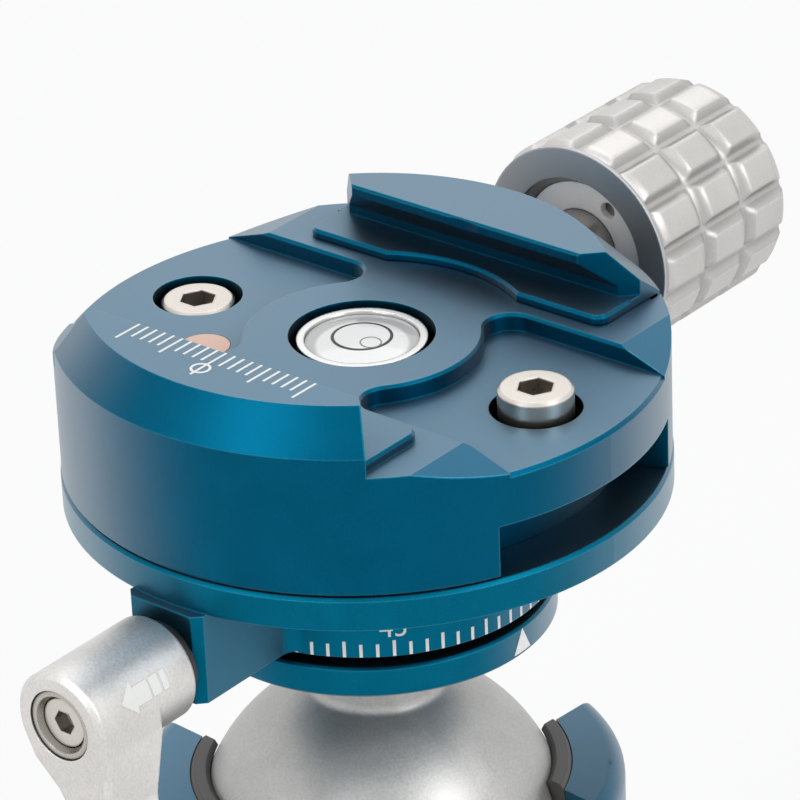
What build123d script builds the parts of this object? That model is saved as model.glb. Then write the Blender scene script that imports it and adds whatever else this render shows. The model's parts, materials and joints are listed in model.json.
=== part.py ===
from build123d import *
import os
from math import cos, radians, sin, sqrt, tan

# Tripod ball head with a panning dovetail clamp, in millimetres.
# +Z is up, +X runs along the dovetail channel and +Y points at the clamp knob.
# The origin is the mouth of the tripod thread, on the underside of the base.

# ------------------------------------------------------------------ driving dimensions
running_fit = 0.05
thread_fit = 0.05
bore_fit = 0.1
slip_gap = 0.3
overcut = 1.0

# base
base_height = 8.0
base_lip = 0.2
base_edge = 0.6
spigot_radius = 10.5
spigot_height = 7.0
lock_groove_depth = 1.2
tripod_thread_radius = 3.97
insert_radius = 6.5
insert_length = 10.0
base_pad_inner = 13.0
base_pad_margin = 2.0
base_pad_thickness = 1.2
slip_ring_margin = 3.0
spigot_washer_radius = 13.2
spigot_washer_bore = 3.0
spigot_washer_thickness = 1.4
spigot_bolt_circle = 6.4
spigot_bolt_count = 3
spigot_screw_head = 2.4
spigot_screw_shank = 1.25
spigot_screw_hex = 1.6
spigot_screw_hex_depth = 0.8

# ball, its socket and the housing
ball_radius = 17.6
ball_clearance = 0.1
neck_radius = 5.9
neck_length = 7.2
neck_foot_fillet = 1.0
neck_spigot_radius = 4.0
neck_spigot_height = 1.5
liner_wall = 1.2
liner_gap = 1.0
liner_rise = 0.3
liner_relief = 0.4
housing_wall = 3.85
housing_floor = 6.5
chamber_radius = 16.5
chamber_height = 8.9
rim_above_ball = 7.7
mouth_wall = 4.9
rim_round = 1.6
notch_clearance = 1.5
notch_turn = -4.5
seat_bore = 8.0
seat_height = 5.0
thrust_plate_thickness = 2.5

# ball lock
lock_screw_radius = 2.5
lock_screw_above_floor = 5.4
bushing_radius = 3.4
bushing_flange_radius = 6.0
bushing_flange = 3.0
bushing_seat_depth = 0.9
lock_screw_pocket = 3.0
wedge_width = 10.0
wedge_side_gap = 0.2
wedge_length = 8.0
wedge_slope = 8.0
wedge_wall_gap = 1.0
wedge_floor_gap = 2.0
wedge_overrun = 2.0
lock_knob_gap = 0.4
lock_knob_radius = 12.5
lock_knob_length = 14.6
lock_knob_rows = 2
lock_knob_columns = 16
dial_radius = 6.0
dial_thickness = 3.0
dial_slot_width = 1.4
dial_slot_depth = 1.2
dial_slot_margin = 1.2

# lock of the lower pan joint
base_lock_radius = 2.0
base_lock_shoe_gap = 0.15
base_lock_shoe_tip = 0.2
base_lock_shoe_length = 2.4
base_lock_knob_gap = 1.7
base_lock_knob_radius = 7.0
base_lock_knob_length = 10.4
base_lock_knob_cap = 2.0
base_lock_knob_shoulder = 2.4
base_lock_knob_edge = 0.6
base_lock_knob_flutes = 14
base_lock_flute_radius = 1.0

# upper pan joint
ring_height = 3.0
ring_edge = 0.25
pan_slit = 1.2
pan_washer_width = 3.0
scale_radius = 17.0
scale_height = 8.88
disc_margin = 0.1
disc_height = 3.12
disc_edge = 0.3
spindle_radius = 11.0
spindle_height = 9.5
brake_groove_depth = 0.8
brake_groove_half_height = 1.7
spindle_washer_radius = 13.3
spindle_washer_thickness = 1.2
spindle_screw_radius = 2.5
spindle_screw_head_radius = 4.5
spindle_screw_head_height = 2.2
spindle_screw_depth = 13.0
spindle_screw_hex = 4.0
spindle_screw_web = 0.4

# pan brake lever
lever_below_clamp = 8.5
block_half_width = 4.2
block_overhang = 0.9
block_bottom_gap = 0.2
block_fillet = 1.75
block_edge = 0.8
brake_pad_radius = 2.4
brake_pad_length = 3.4
brake_nose_gap = 0.15
brake_nose_radius = 1.5
brake_shoulder_gap = 0.6
lever_washer_radius = 3.9
lever_washer_thickness = 1.1
stud_radius = 2.5
hub_gap = 0.35
hub_radius = 4.9
hub_length = 12.15
hub_edge = 0.45
arm_turn = 25.0
arm_length = 28.0
arm_start = 4.65
arm_end_start = 1.4
arm_end_reach = 5.4
arm_half_width = 2.6
arm_tip_half_width = 1.2
arm_waist = 2.3
arm_waist_drop = 9.0
arm_shoulder_drop = 4.2
arm_front_drop = 5.6
arm_cheek_angle = 22.6
arm_cheek_length = 2.2
spline_radius = 3.2
spline_count = 16
spline_groove_radius = 0.25
collar_end = 2.75
spring_recess = 3.75
spring_room = 5.6
sleeve_radius = 3.2
sleeve_floor_thickness = 0.5
sleeve_edge = 0.35
lever_screw_radius = 1.5
lever_screw_head_radius = 2.27
lever_screw_head_height = 1.6
lever_screw_hex = 2.0
lever_screw_hex_depth = 1.4
spring_wire = 0.4
spring_coils = 4
spring_bore_gap = 0.45

# clamp
clamp_radius = 27.6
deck_height = 11.6
jaw_height = 5.47
lip_height = 1.0
lip_bevel = 0.2
seat_rise = 0.9
pocket_depth = 1.7
pocket_half_width = 11.1
pocket_corner = 2.4
pocket_bevel = 0.25
land_radius = 10.9
ramp_length = 5.0
ramp_foot_margin = 2.2
seat_half_length = 17.0
seat_inner = 12.9
seat_corner = 1.2
seat_bevel = 0.25
fixed_jaw_lip = 17.92
fixed_jaw_undercut = 2.68
fixed_jaw_half_length = 14.5
fixed_jaw_crown_margin = 2.9
fixed_jaw_shoulder = 13.4
moving_jaw_lip = 14.8
moving_jaw_undercut = 2.6
moving_jaw_half_length = 13.0
moving_jaw_crown_margin = 5.3
moving_foot_front = 12.85
moving_foot_arc = 14.9
foot_gap = 0.05
apron_depth = 6.2
apron_bottom = 3.5
jaw_travel_in = 1.0
clamp_edge = 0.35
window_height = 5.1
window_depth = 4.6
window_half_angle = 26.3

# clamp screw, its knob and the guide pins
clamp_screw_above_bottom = 7.2
clamp_screw_radius = 3.0
clamp_screw_tip = 8.5
pin_spacing = 23.0
pin_radius = 1.5
pin_end_gap = 0.6
pin_grip = 2.6
spot_face_depth = 0.7
thrust_washer_thickness = 1.0
knob_gap = 4.0
knob_length = 19.6
knob_radius = 10.75
knob_dish_radius = 7.4
knob_dish_bevel = 0.8
knob_face_thickness = 0.4
knob_disc_thickness = 0.8
knob_hole_radius = 0.8
knob_hole_place = (-2.95, 4.5)
knob_rows = 3
knob_columns = 14
knob_screw_cap = 6.0

# grooves that part the skin of both large knobs into rows of blocks
grip_bevel = 0.35
grip_round = 1.2
grip_depth = 0.75
grip_floor = 0.5
grip_cutter_reach = 0.4

# mounting screws, stop pin and level
mount_screw_spacing = 39.0
mount_screw_radius = 2.0
mount_head_radius = 3.4
mount_head_height = 4.0
mount_head_edge = 0.3
mount_hex = 3.0
mount_hex_depth = 2.2
mount_hole_clearance = 0.25
mount_tip_gap = 0.4
counterbore_radius = 4.15
counterbore_above_bottom = 5.65
raised_screw_lift = 2.3
stop_pin_radius = 2.4
stop_pin_length = 4.0
stop_pin_position = (-12.3, -7.4)
level_recess_radius = 6.64
level_recess_depth = 4.6
level_radius = 5.9
level_wall = 0.7
level_base = 0.8
level_below_deck = 0.4
level_window_thickness = 1.2
level_dome_foot = 0.3
level_dome_rise = 0.2

# ------------------------------------------------------------------ heights of the stack
housing_bottom = base_height + slip_gap
spigot_top = base_height + spigot_height
floor_top = housing_bottom + housing_floor
ledge = floor_top + chamber_height
plate_top = ledge + thrust_plate_thickness
seat_top = plate_top + seat_height
socket_radius = ball_radius + ball_clearance
ball_z = plate_top + sqrt(socket_radius**2 - seat_bore**2)
housing_top = ball_z + rim_above_ball
base_lock_z = housing_bottom + housing_floor / 2 - 0.05
lock_z = floor_top + lock_screw_above_floor
ring_bottom = ball_z + ball_radius + neck_length
ring_top = ring_bottom + ring_height
scale_bottom = ring_top + pan_slit
disc_bottom = scale_bottom + scale_height
clamp_bottom = disc_bottom + disc_height
lever_z = clamp_bottom - lever_below_clamp
screw_z = clamp_bottom + clamp_screw_above_bottom
deck = clamp_bottom + deck_height
pocket_floor = deck - pocket_depth
seat_level = deck + seat_rise
jaw_top = deck + jaw_height

# ------------------------------------------------------------------ radii that follow from the ball
liner_outer = socket_radius + liner_wall
housing_bore = liner_outer + running_fit
housing_radius = housing_bore + housing_wall
base_radius = housing_radius + base_lip
mouth_radius = housing_radius - mouth_wall
notch_width = 2 * (neck_radius + notch_clearance)

# ------------------------------------------------------------------ places that follow from the clamp
ring_radius = scale_radius - disc_margin
disc_radius = clamp_radius + disc_margin
block_face = disc_radius + block_overhang
apron_front = clamp_radius - apron_depth
window_radius = clamp_radius - window_depth
ramp_end = clamp_radius - ramp_foot_margin
ramp_start = ramp_end - ramp_length
fixed_jaw_crown = clamp_radius - fixed_jaw_crown_margin
moving_jaw_crown = clamp_radius - moving_jaw_crown_margin
fixed_jaw_wall = fixed_jaw_lip + fixed_jaw_undercut
moving_jaw_wall = moving_jaw_lip + moving_jaw_undercut
knob_near_face = clamp_radius + knob_gap
knob_far_face = knob_near_face + knob_length


def facing_front(distance, height=0.0):
    """Plane square to Y, this far out on the -Y side, that looks along -Y."""
    return Plane(origin=(0, -distance, height), x_dir=(1, 0, 0), z_dir=(0, -1, 0))


def facing_back(distance, height=0.0):
    """Plane square to Y, this far out on the +Y side, that looks along +Y."""
    return Plane(origin=(0, distance, height), x_dir=(-1, 0, 0), z_dir=(0, 1, 0))


def facing_right(distance, height=0.0):
    """Plane square to X, this far out on the +X side, that looks along +X."""
    return Plane(origin=(distance, 0, height), x_dir=(0, 1, 0), z_dir=(1, 0, 0))


def border(faces):
    """Edges round the outside of these faces, which no two of them share."""
    edges = [edge for face in faces for edge in face.outer_wire().edges()]
    return [edge for edge in edges if sum(edge.is_same(other) for other in edges) == 1]


def radial_plane(angle, height):
    """Plane through the axis of the head that looks outward at this angle from +X."""
    outward = (cos(radians(angle)), sin(radians(angle)), 0)
    sideways = (-sin(radians(angle)), cos(radians(angle)), 0)
    return Plane(origin=(0, 0, height), x_dir=sideways, z_dir=outward)


def turning_plane(direction, height):
    """Plane that holds a level axis: local x runs out along it, local y is the radius."""
    out = Vector(*direction)
    return Plane(origin=(0, 0, height), x_dir=out, z_dir=out.cross(Vector(0, 0, 1)))


def ringed_skin(near, far, rows, radius):
    """Points along a knob's turned skin, from face to face, with a groove between its rows of blocks."""
    points = [(near, radius - grip_bevel), (near + 2 * grip_bevel, radius)]
    for row in range(1, rows):
        middle = near + row * (far - near) / rows
        points += [
            (middle - grip_floor / 2 - grip_depth, radius),
            (middle - grip_floor / 2, radius - grip_depth),
            (middle + grip_floor / 2, radius - grip_depth),
            (middle + grip_floor / 2 + grip_depth, radius),
        ]
    points += [
        (far - grip_round, radius),
        (far - 0.3 * grip_round, radius - 0.3 * grip_round),
        (far, radius - grip_round),
    ]
    return points


front = (0, -1, 0)
back = (0, 1, 0)
right = (1, 0, 0)
notch_planes = [radial_plane(notch_turn + step, ball_z) for step in (0, 90, 180)]
os.makedirs("parts", exist_ok=True)

# ------------------------------------------------------------------ base plate
# A disc with a spigot. The spigot carries the housing and has a groove for the pan lock.
groove_radius = spigot_radius - lock_groove_depth
base_pad_outer = base_radius - base_pad_margin
with BuildPart() as base_plate:
    with BuildSketch(Plane.XZ):
        with BuildLine():
            Polyline(
                (0, 0),
                (base_radius - base_edge, 0),
                (base_radius, base_edge),
                (base_radius, base_height - base_edge),
                (base_radius - base_edge, base_height),
                (spigot_radius, base_height),
                (spigot_radius, base_lock_z - lock_groove_depth),
                (groove_radius, base_lock_z),
                (spigot_radius, base_lock_z + lock_groove_depth),
                (spigot_radius, spigot_top),
                (0, spigot_top),
                close=True,
            )
        make_face()
    revolve(axis=Axis.Z)
    with BuildSketch(Plane.XY):
        Circle(insert_radius)
    extrude(amount=insert_length, mode=Mode.SUBTRACT)
    with BuildSketch(Plane.XY):
        Circle(base_pad_outer)
        Circle(base_pad_inner, mode=Mode.SUBTRACT)
    extrude(amount=base_pad_thickness, mode=Mode.SUBTRACT)
    with BuildSketch(Plane.XY.offset(insert_length + overcut)):
        with PolarLocations(spigot_bolt_circle, spigot_bolt_count):
            Circle(spigot_screw_shank + running_fit)
    extrude(until=Until.LAST, mode=Mode.SUBTRACT)
base_plate.part.label = "base_plate"
export_step(base_plate.part, "parts/base_plate.step")

# Steel bush with the tripod thread, pressed in from below.
with BuildPart() as thread_insert:
    with BuildSketch(Plane.XY):
        Circle(insert_radius - running_fit)
        Circle(tripod_thread_radius, mode=Mode.SUBTRACT)
    extrude(amount=insert_length)
thread_insert.part.label = "thread_insert"
export_step(thread_insert.part, "parts/thread_insert.step")

# Rubber ring let into the underside.
with BuildPart() as base_pad:
    with BuildSketch(Plane.XY):
        Circle(base_pad_outer - running_fit)
        Circle(base_pad_inner + running_fit, mode=Mode.SUBTRACT)
    extrude(amount=base_pad_thickness)
base_pad.part.label = "base_pad"
export_step(base_pad.part, "parts/base_pad.step")

# Slip ring that the housing turns on.
with BuildPart() as slip_ring:
    with BuildSketch(Plane.XY.offset(base_height)):
        Circle(base_radius - slip_ring_margin)
        Circle(spigot_radius + slip_gap / 2, mode=Mode.SUBTRACT)
    extrude(amount=slip_gap)
slip_ring.part.label = "slip_ring"
export_step(slip_ring.part, "parts/slip_ring.step")

# Washer on the spigot that keeps the housing down, held by countersunk screws.
washer_top = spigot_top + spigot_washer_thickness
with BuildPart() as spigot_washer:
    with BuildSketch(Plane.XY.offset(spigot_top)):
        Circle(spigot_washer_radius)
        Circle(spigot_washer_bore, mode=Mode.SUBTRACT)
    extrude(amount=spigot_washer_thickness)
    with Locations(Plane.XY.offset(washer_top)):
        with PolarLocations(spigot_bolt_circle, spigot_bolt_count):
            CounterSinkHole(spigot_screw_shank + bore_fit, spigot_screw_head + running_fit)
spigot_washer.part.label = "spigot_washer"
export_step(spigot_washer.part, "parts/spigot_washer.step")

spigot_screw_tip = insert_length + overcut + slip_gap
with BuildPart() as spigot_screws:
    with BuildSketch(Plane.XZ):
        with BuildLine():
            Polyline(
                (0, spigot_screw_tip),
                (spigot_screw_shank, spigot_screw_tip),
                (spigot_screw_shank, washer_top - spigot_screw_head + spigot_screw_shank),
                (spigot_screw_head, washer_top),
                (0, washer_top),
                close=True,
            )
        make_face()
    revolve(axis=Axis.Z)
    with BuildSketch(Plane.XY.offset(washer_top)):
        RegularPolygon(spigot_screw_hex / 2, 6, major_radius=False)
    extrude(amount=-spigot_screw_hex_depth, mode=Mode.SUBTRACT)
bolt_places = PolarLocations(spigot_bolt_circle, spigot_bolt_count)
spigot_screws.part = Compound(children=[spigot_screws.part.moved(place) for place in bolt_places])
spigot_screws.part.label = "spigot_screws"
export_step(spigot_screws.part, "parts/spigot_screws.step")

# ------------------------------------------------------------------ housing
# A cup with a coned mouth, three U notches for the neck and one solid side for the lock.
lock_face = housing_radius - bushing_seat_depth
screw_pocket = chamber_radius + lock_screw_pocket
with BuildPart() as housing:
    with BuildSketch(Plane.XZ):
        with BuildLine():
            Polyline(
                (spigot_radius + bore_fit, housing_bottom),
                (housing_radius - base_edge, housing_bottom),
                (housing_radius, housing_bottom + base_edge),
                (housing_radius, housing_top),
                (mouth_radius, housing_top),
                (housing_bore, ball_z),
                (housing_bore, ledge),
                (chamber_radius, ledge),
                (chamber_radius, floor_top),
                (spigot_radius + bore_fit, floor_top),
                close=True,
            )
        make_face()
        fillet(vertices().group_by(Axis.Y)[-1].sort_by(Axis.X)[-1], rim_round)
    revolve(axis=Axis.Z)
    with BuildSketch(*notch_planes):
        Circle(notch_width / 2)
        Rectangle(notch_width, housing_radius, align=(Align.CENTER, Align.MIN))
    extrude(amount=housing_radius + overcut, mode=Mode.SUBTRACT)
    with BuildSketch(facing_front(chamber_radius - overcut, lock_z)):
        Circle(bushing_radius + running_fit)
    extrude(amount=housing_radius, mode=Mode.SUBTRACT)
    with BuildSketch(facing_front(lock_face, lock_z)):
        Circle(bushing_flange_radius + running_fit)
    extrude(amount=housing_radius, mode=Mode.SUBTRACT)
    with BuildSketch(facing_back(chamber_radius - overcut, lock_z)):
        Circle(lock_screw_radius + bore_fit)
    extrude(amount=lock_screw_pocket + overcut, mode=Mode.SUBTRACT)
    with BuildSketch(facing_right(spigot_radius - overcut, base_lock_z)):
        Circle(base_lock_radius + bore_fit)
    extrude(amount=housing_radius, mode=Mode.SUBTRACT)
housing.part.label = "housing"
export_step(housing.part, "parts/housing.step")

# Nylon liner that holds the ball down. It is wedged in the cone of the mouth.
liner_bottom = seat_top + liner_gap
liner_top = housing_top + liner_rise
liner_lip = liner_top - liner_relief - ball_z
liner_mouth = sqrt(socket_radius**2 - liner_lip**2)
cone_slope = (housing_bore - mouth_radius) / rim_above_ball
liner_shoulder = liner_outer - cone_slope * liner_lip
with BuildPart() as upper_liner:
    with BuildSketch(Plane.XZ):
        with BuildLine():
            Polyline(
                (socket_radius, ball_z),
                (socket_radius, liner_bottom),
                (liner_outer, liner_bottom),
                (liner_outer, ball_z),
                (liner_shoulder, ball_z + liner_lip),
                (liner_shoulder - liner_relief, liner_top),
                (liner_mouth + liner_relief, liner_top),
                (liner_mouth, ball_z + liner_lip),
            )
            ThreePointArc(
                (liner_mouth, ball_z + liner_lip),
                (sqrt(socket_radius**2 - liner_lip**2 / 4), ball_z + liner_lip / 2),
                (socket_radius, ball_z),
            )
        make_face()
    revolve(axis=Axis.Z)
    with BuildSketch(*notch_planes):
        Circle(notch_width / 2)
        Rectangle(notch_width, housing_radius, align=(Align.CENTER, Align.MIN))
    extrude(amount=housing_radius + overcut, mode=Mode.SUBTRACT)
upper_liner.part.label = "upper_liner"
export_step(upper_liner.part, "parts/upper_liner.step")

# Lower seat: a ring with a spherical face under the ball.
seat_mouth = sqrt(socket_radius**2 - (ball_z - seat_top) ** 2)
seat_middle = (ball_z - plate_top + ball_z - seat_top) / 2
with BuildPart() as seat_ring:
    with BuildSketch(Plane.XZ):
        with BuildLine():
            Polyline(
                (seat_bore, plate_top),
                (liner_outer - slip_gap, plate_top),
                (liner_outer - slip_gap, seat_top),
                (seat_mouth, seat_top),
            )
            ThreePointArc(
                (seat_mouth, seat_top),
                (sqrt(socket_radius**2 - seat_middle**2), ball_z - seat_middle),
                (seat_bore, plate_top),
            )
        make_face()
    revolve(axis=Axis.Z)
seat_ring.part.label = "seat_ring"
export_step(seat_ring.part, "parts/seat_ring.step")

# Thrust plate under the seat, with a ramp in its underside for the wedge.
wedge_outer = chamber_radius - wedge_wall_gap
wedge_inner = wedge_outer - wedge_length
wedge_tan = tan(radians(wedge_slope))
wedge_toe = ledge - bore_fit
wedge_heel = wedge_toe + wedge_length * wedge_tan
ramp_inner = wedge_inner - wedge_overrun
ramp_toe = wedge_toe + running_fit
ramp_heel = ramp_toe + (wedge_outer - ramp_inner) * wedge_tan
with BuildPart() as thrust_plate:
    with BuildSketch(Plane.XY.offset(ledge)):
        Circle(liner_outer - slip_gap)
        Circle(seat_bore, mode=Mode.SUBTRACT)
    extrude(amount=thrust_plate_thickness)
    with BuildSketch(Plane.YZ):
        with BuildLine():
            Polyline(
                (-wedge_outer - overcut, ledge - overcut),
                (-ramp_inner, ledge - overcut),
                (-ramp_inner, ramp_heel),
                (-wedge_outer, ramp_toe),
                (-wedge_outer - overcut, ramp_toe),
                close=True,
            )
        make_face()
    extrude(amount=wedge_width / 2 + wedge_side_gap, both=True, mode=Mode.SUBTRACT)
thrust_plate.part.label = "thrust_plate"
export_step(thrust_plate.part, "parts/thrust_plate.step")

# Wedge on the lock screw. Drawn towards the knob, it lifts the plate and grips the ball.
with BuildPart() as lock_wedge:
    with BuildSketch(Plane.YZ):
        with BuildLine():
            Polyline(
                (-wedge_outer, floor_top + wedge_floor_gap),
                (-wedge_inner, floor_top + wedge_floor_gap),
                (-wedge_inner, wedge_heel),
                (-wedge_outer, wedge_toe),
                close=True,
            )
        make_face()
    extrude(amount=wedge_width / 2, both=True)
    with BuildSketch(facing_front(wedge_inner - overcut, lock_z)):
        Circle(lock_screw_radius + thread_fit)
    extrude(amount=wedge_length + 2 * overcut, mode=Mode.SUBTRACT)
lock_wedge.part.label = "lock_wedge"
export_step(lock_wedge.part, "parts/lock_wedge.step")

# Flanged bush that carries the lock screw in the wall.
flange_face = lock_face + bushing_flange
bushing_start = chamber_radius + slip_gap
with BuildPart() as lock_bushing:
    with BuildSketch(turning_plane(front, lock_z)):
        with BuildLine():
            Polyline(
                (bushing_start, lock_screw_radius + thread_fit),
                (flange_face, lock_screw_radius + thread_fit),
                (flange_face, bushing_flange_radius),
                (lock_face, bushing_flange_radius),
                (lock_face, bushing_radius),
                (bushing_start, bushing_radius),
                close=True,
            )
        make_face()
    revolve(axis=Axis((0, 0, lock_z), front))
lock_bushing.part.label = "lock_bushing"
export_step(lock_bushing.part, "parts/lock_bushing.step")

# Lock screw, from the blind bore in the far wall to the knob.
lock_knob_near = flange_face + lock_knob_gap
lock_knob_far = lock_knob_near + lock_knob_length
dial_seat = lock_knob_far - dial_thickness
lock_screw_end = screw_pocket - slip_gap
with BuildPart() as lock_screw:
    with BuildSketch(facing_back(lock_screw_end, lock_z)):
        Circle(lock_screw_radius)
    extrude(amount=-(lock_screw_end + dial_seat))
lock_screw.part.label = "lock_screw"
export_step(lock_screw.part, "parts/lock_screw.step")

# Ball lock knob, with grooves round it and along it that leave two rows of blocks.
groove_height = grip_depth + grip_cutter_reach
groove_width = grip_floor + 2 * groove_height
with BuildPart() as lock_knob:
    with BuildSketch(turning_plane(front, lock_z)):
        with BuildLine():
            Polyline(
                (lock_knob_near, lock_screw_radius),
                *ringed_skin(lock_knob_near, lock_knob_far, lock_knob_rows, lock_knob_radius),
                (lock_knob_far, dial_radius + bore_fit),
                (dial_seat, dial_radius + bore_fit),
                (dial_seat, lock_screw_radius),
                close=True,
            )
        make_face()
    revolve(axis=Axis((0, 0, lock_z), front))
    with BuildSketch(facing_front(lock_knob_near, lock_z)):
        with PolarLocations(lock_knob_radius - grip_depth + groove_height / 2, lock_knob_columns, 90):
            Trapezoid(groove_width, groove_height, 45, rotation=90)
    extrude(amount=lock_knob_length, mode=Mode.SUBTRACT)
lock_knob.part.label = "lock_knob"
export_step(lock_knob.part, "parts/lock_knob.step")

# Friction dial let into the end of the lock knob, with a coin slot.
with BuildPart() as friction_dial:
    with BuildSketch(facing_front(dial_seat, lock_z)):
        Circle(dial_radius)
    extrude(amount=dial_thickness)
    with BuildSketch(facing_front(lock_knob_far, lock_z)):
        Rectangle(dial_slot_width, 2 * (dial_radius - dial_slot_margin))
    extrude(amount=-dial_slot_depth, mode=Mode.SUBTRACT)
friction_dial.part.label = "friction_dial"
export_step(friction_dial.part, "parts/friction_dial.step")

# ------------------------------------------------------------------ lower pan lock
base_knob_near = housing_radius + base_lock_knob_gap
base_knob_far = base_knob_near + base_lock_knob_length
base_screw_end = base_knob_far - base_lock_knob_cap
shoe_end = spigot_radius + base_lock_shoe_length
shoe_nose = groove_radius + base_lock_shoe_gap
with BuildPart() as base_lock_shoe:
    with BuildSketch(turning_plane(right, base_lock_z)):
        with BuildLine():
            Polyline(
                (shoe_nose, 0),
                (shoe_nose, base_lock_shoe_tip),
                (spigot_radius, lock_groove_depth - running_fit),
                (spigot_radius + slip_gap, base_lock_radius),
                (shoe_end, base_lock_radius),
                (shoe_end, 0),
                close=True,
            )
        make_face()
    revolve(axis=Axis((0, 0, base_lock_z), right))
base_lock_shoe.part.label = "base_lock_shoe"
export_step(base_lock_shoe.part, "parts/base_lock_shoe.step")

with BuildPart() as base_lock_screw:
    with BuildSketch(facing_right(shoe_end, base_lock_z)):
        Circle(base_lock_radius)
    extrude(amount=base_screw_end - shoe_end)
base_lock_screw.part.label = "base_lock_screw"
export_step(base_lock_screw.part, "parts/base_lock_screw.step")

with BuildPart() as base_lock_knob:
    with BuildSketch(turning_plane(right, base_lock_z)):
        with BuildLine():
            Polyline(
                (base_knob_near, base_lock_radius),
                (base_knob_near, base_lock_knob_radius - base_lock_knob_shoulder),
                (base_knob_near + base_lock_knob_shoulder, base_lock_knob_radius),
                (base_knob_far - base_lock_knob_edge, base_lock_knob_radius),
                (base_knob_far, base_lock_knob_radius - base_lock_knob_edge),
                (base_knob_far, 0),
                (base_screw_end, 0),
                (base_screw_end, base_lock_radius),
                close=True,
            )
        make_face()
    revolve(axis=Axis((0, 0, base_lock_z), right))
    with BuildSketch(facing_right(base_knob_near, base_lock_z)):
        with PolarLocations(base_lock_knob_radius + base_lock_flute_radius / 2, base_lock_knob_flutes):
            Circle(base_lock_flute_radius)
    extrude(amount=base_lock_knob_length, mode=Mode.SUBTRACT)
base_lock_knob.part.label = "base_lock_knob"
export_step(base_lock_knob.part, "parts/base_lock_knob.step")

# ------------------------------------------------------------------ ball and upper pan joint
with BuildPart() as ball:
    with Locations(Plane.XY.offset(ball_z)):
        Sphere(ball_radius)
    with BuildSketch(Plane.XY.offset(ball_z)):
        Circle(neck_radius)
    extrude(amount=ring_bottom - ball_z)
    fillet(ball.edges().filter_by(GeomType.CIRCLE).sort_by(Axis.Z)[-2], neck_foot_fillet)
    with BuildSketch(Plane.XY.offset(ring_bottom)):
        Circle(neck_spigot_radius)
    extrude(amount=neck_spigot_height)
    with BuildSketch(Plane.XY.offset(ring_bottom + neck_spigot_height)):
        Circle(spindle_screw_radius + thread_fit)
    extrude(amount=-spindle_screw_depth - neck_spigot_height, mode=Mode.SUBTRACT)
ball.part.label = "ball"
export_step(ball.part, "parts/ball.step")

# Index ring fixed on the neck. Its mark points at the degree scale.
with BuildPart() as index_ring:
    with BuildSketch(Plane.XZ):
        with BuildLine():
            Polyline(
                (neck_spigot_radius + running_fit, ring_bottom),
                (ring_radius - ring_edge, ring_bottom),
                (ring_radius, ring_bottom + ring_edge),
                (ring_radius, ring_top - ring_edge),
                (ring_radius - ring_edge, ring_top),
                (spindle_screw_radius + running_fit, ring_top),
                (spindle_screw_radius + running_fit, ring_bottom + neck_spigot_height),
                (neck_spigot_radius + running_fit, ring_bottom + neck_spigot_height),
                close=True,
            )
        make_face()
    revolve(axis=Axis.Z)
index_ring.part.label = "index_ring"
export_step(index_ring.part, "parts/index_ring.step")

# Spindle that the clamp turns on, with a groove for the brake pad.
spindle_top = ring_top + spindle_height
groove_floor = spindle_radius - brake_groove_depth
groove_low = lever_z - brake_groove_half_height
groove_high = lever_z + brake_groove_half_height
with BuildPart() as pan_spindle:
    with BuildSketch(Plane.XZ):
        with BuildLine():
            Polyline(
                (spindle_screw_radius + running_fit, ring_top),
                (spindle_radius, ring_top),
                (spindle_radius, groove_low),
                (groove_floor, groove_low),
                (groove_floor, groove_high),
                (spindle_radius, groove_high),
                (spindle_radius, spindle_top),
                (spindle_screw_radius + running_fit, spindle_top),
                close=True,
            )
        make_face()
    revolve(axis=Axis.Z)
pan_spindle.part.label = "pan_spindle"
export_step(pan_spindle.part, "parts/pan_spindle.step")

with BuildPart() as pan_thrust_washer:
    with BuildSketch(Plane.XY.offset(ring_top)):
        Circle(spindle_radius + pan_washer_width)
        Circle(spindle_radius + bore_fit, mode=Mode.SUBTRACT)
    extrude(amount=pan_slit)
pan_thrust_washer.part.label = "pan_thrust_washer"
export_step(pan_thrust_washer.part, "parts/pan_thrust_washer.step")

spindle_washer_top = spindle_top + spindle_washer_thickness
spindle_screw_top = spindle_washer_top + spindle_screw_head_height
spindle_screw_tip = ring_bottom - spindle_screw_depth + overcut
with BuildPart() as spindle_washer:
    with BuildSketch(Plane.XY.offset(spindle_top)):
        Circle(spindle_washer_radius)
        Circle(spindle_screw_radius + running_fit, mode=Mode.SUBTRACT)
    extrude(amount=spindle_washer_thickness)
spindle_washer.part.label = "spindle_washer"
export_step(spindle_washer.part, "parts/spindle_washer.step")

with BuildPart() as spindle_screw:
    with BuildSketch(Plane.XY.offset(spindle_washer_top)):
        Circle(spindle_screw_head_radius)
    extrude(amount=spindle_screw_head_height)
    with BuildSketch(Plane.XY.offset(spindle_washer_top)):
        Circle(spindle_screw_radius)
    extrude(amount=spindle_screw_tip - spindle_washer_top)
    with BuildSketch(Plane.XY.offset(spindle_screw_top)):
        RegularPolygon(spindle_screw_hex / 2, 6, major_radius=False)
    extrude(amount=spindle_screw_web - spindle_screw_head_height, mode=Mode.SUBTRACT)
spindle_screw.part.label = "spindle_screw"
export_step(spindle_screw.part, "parts/spindle_screw.step")

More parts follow.
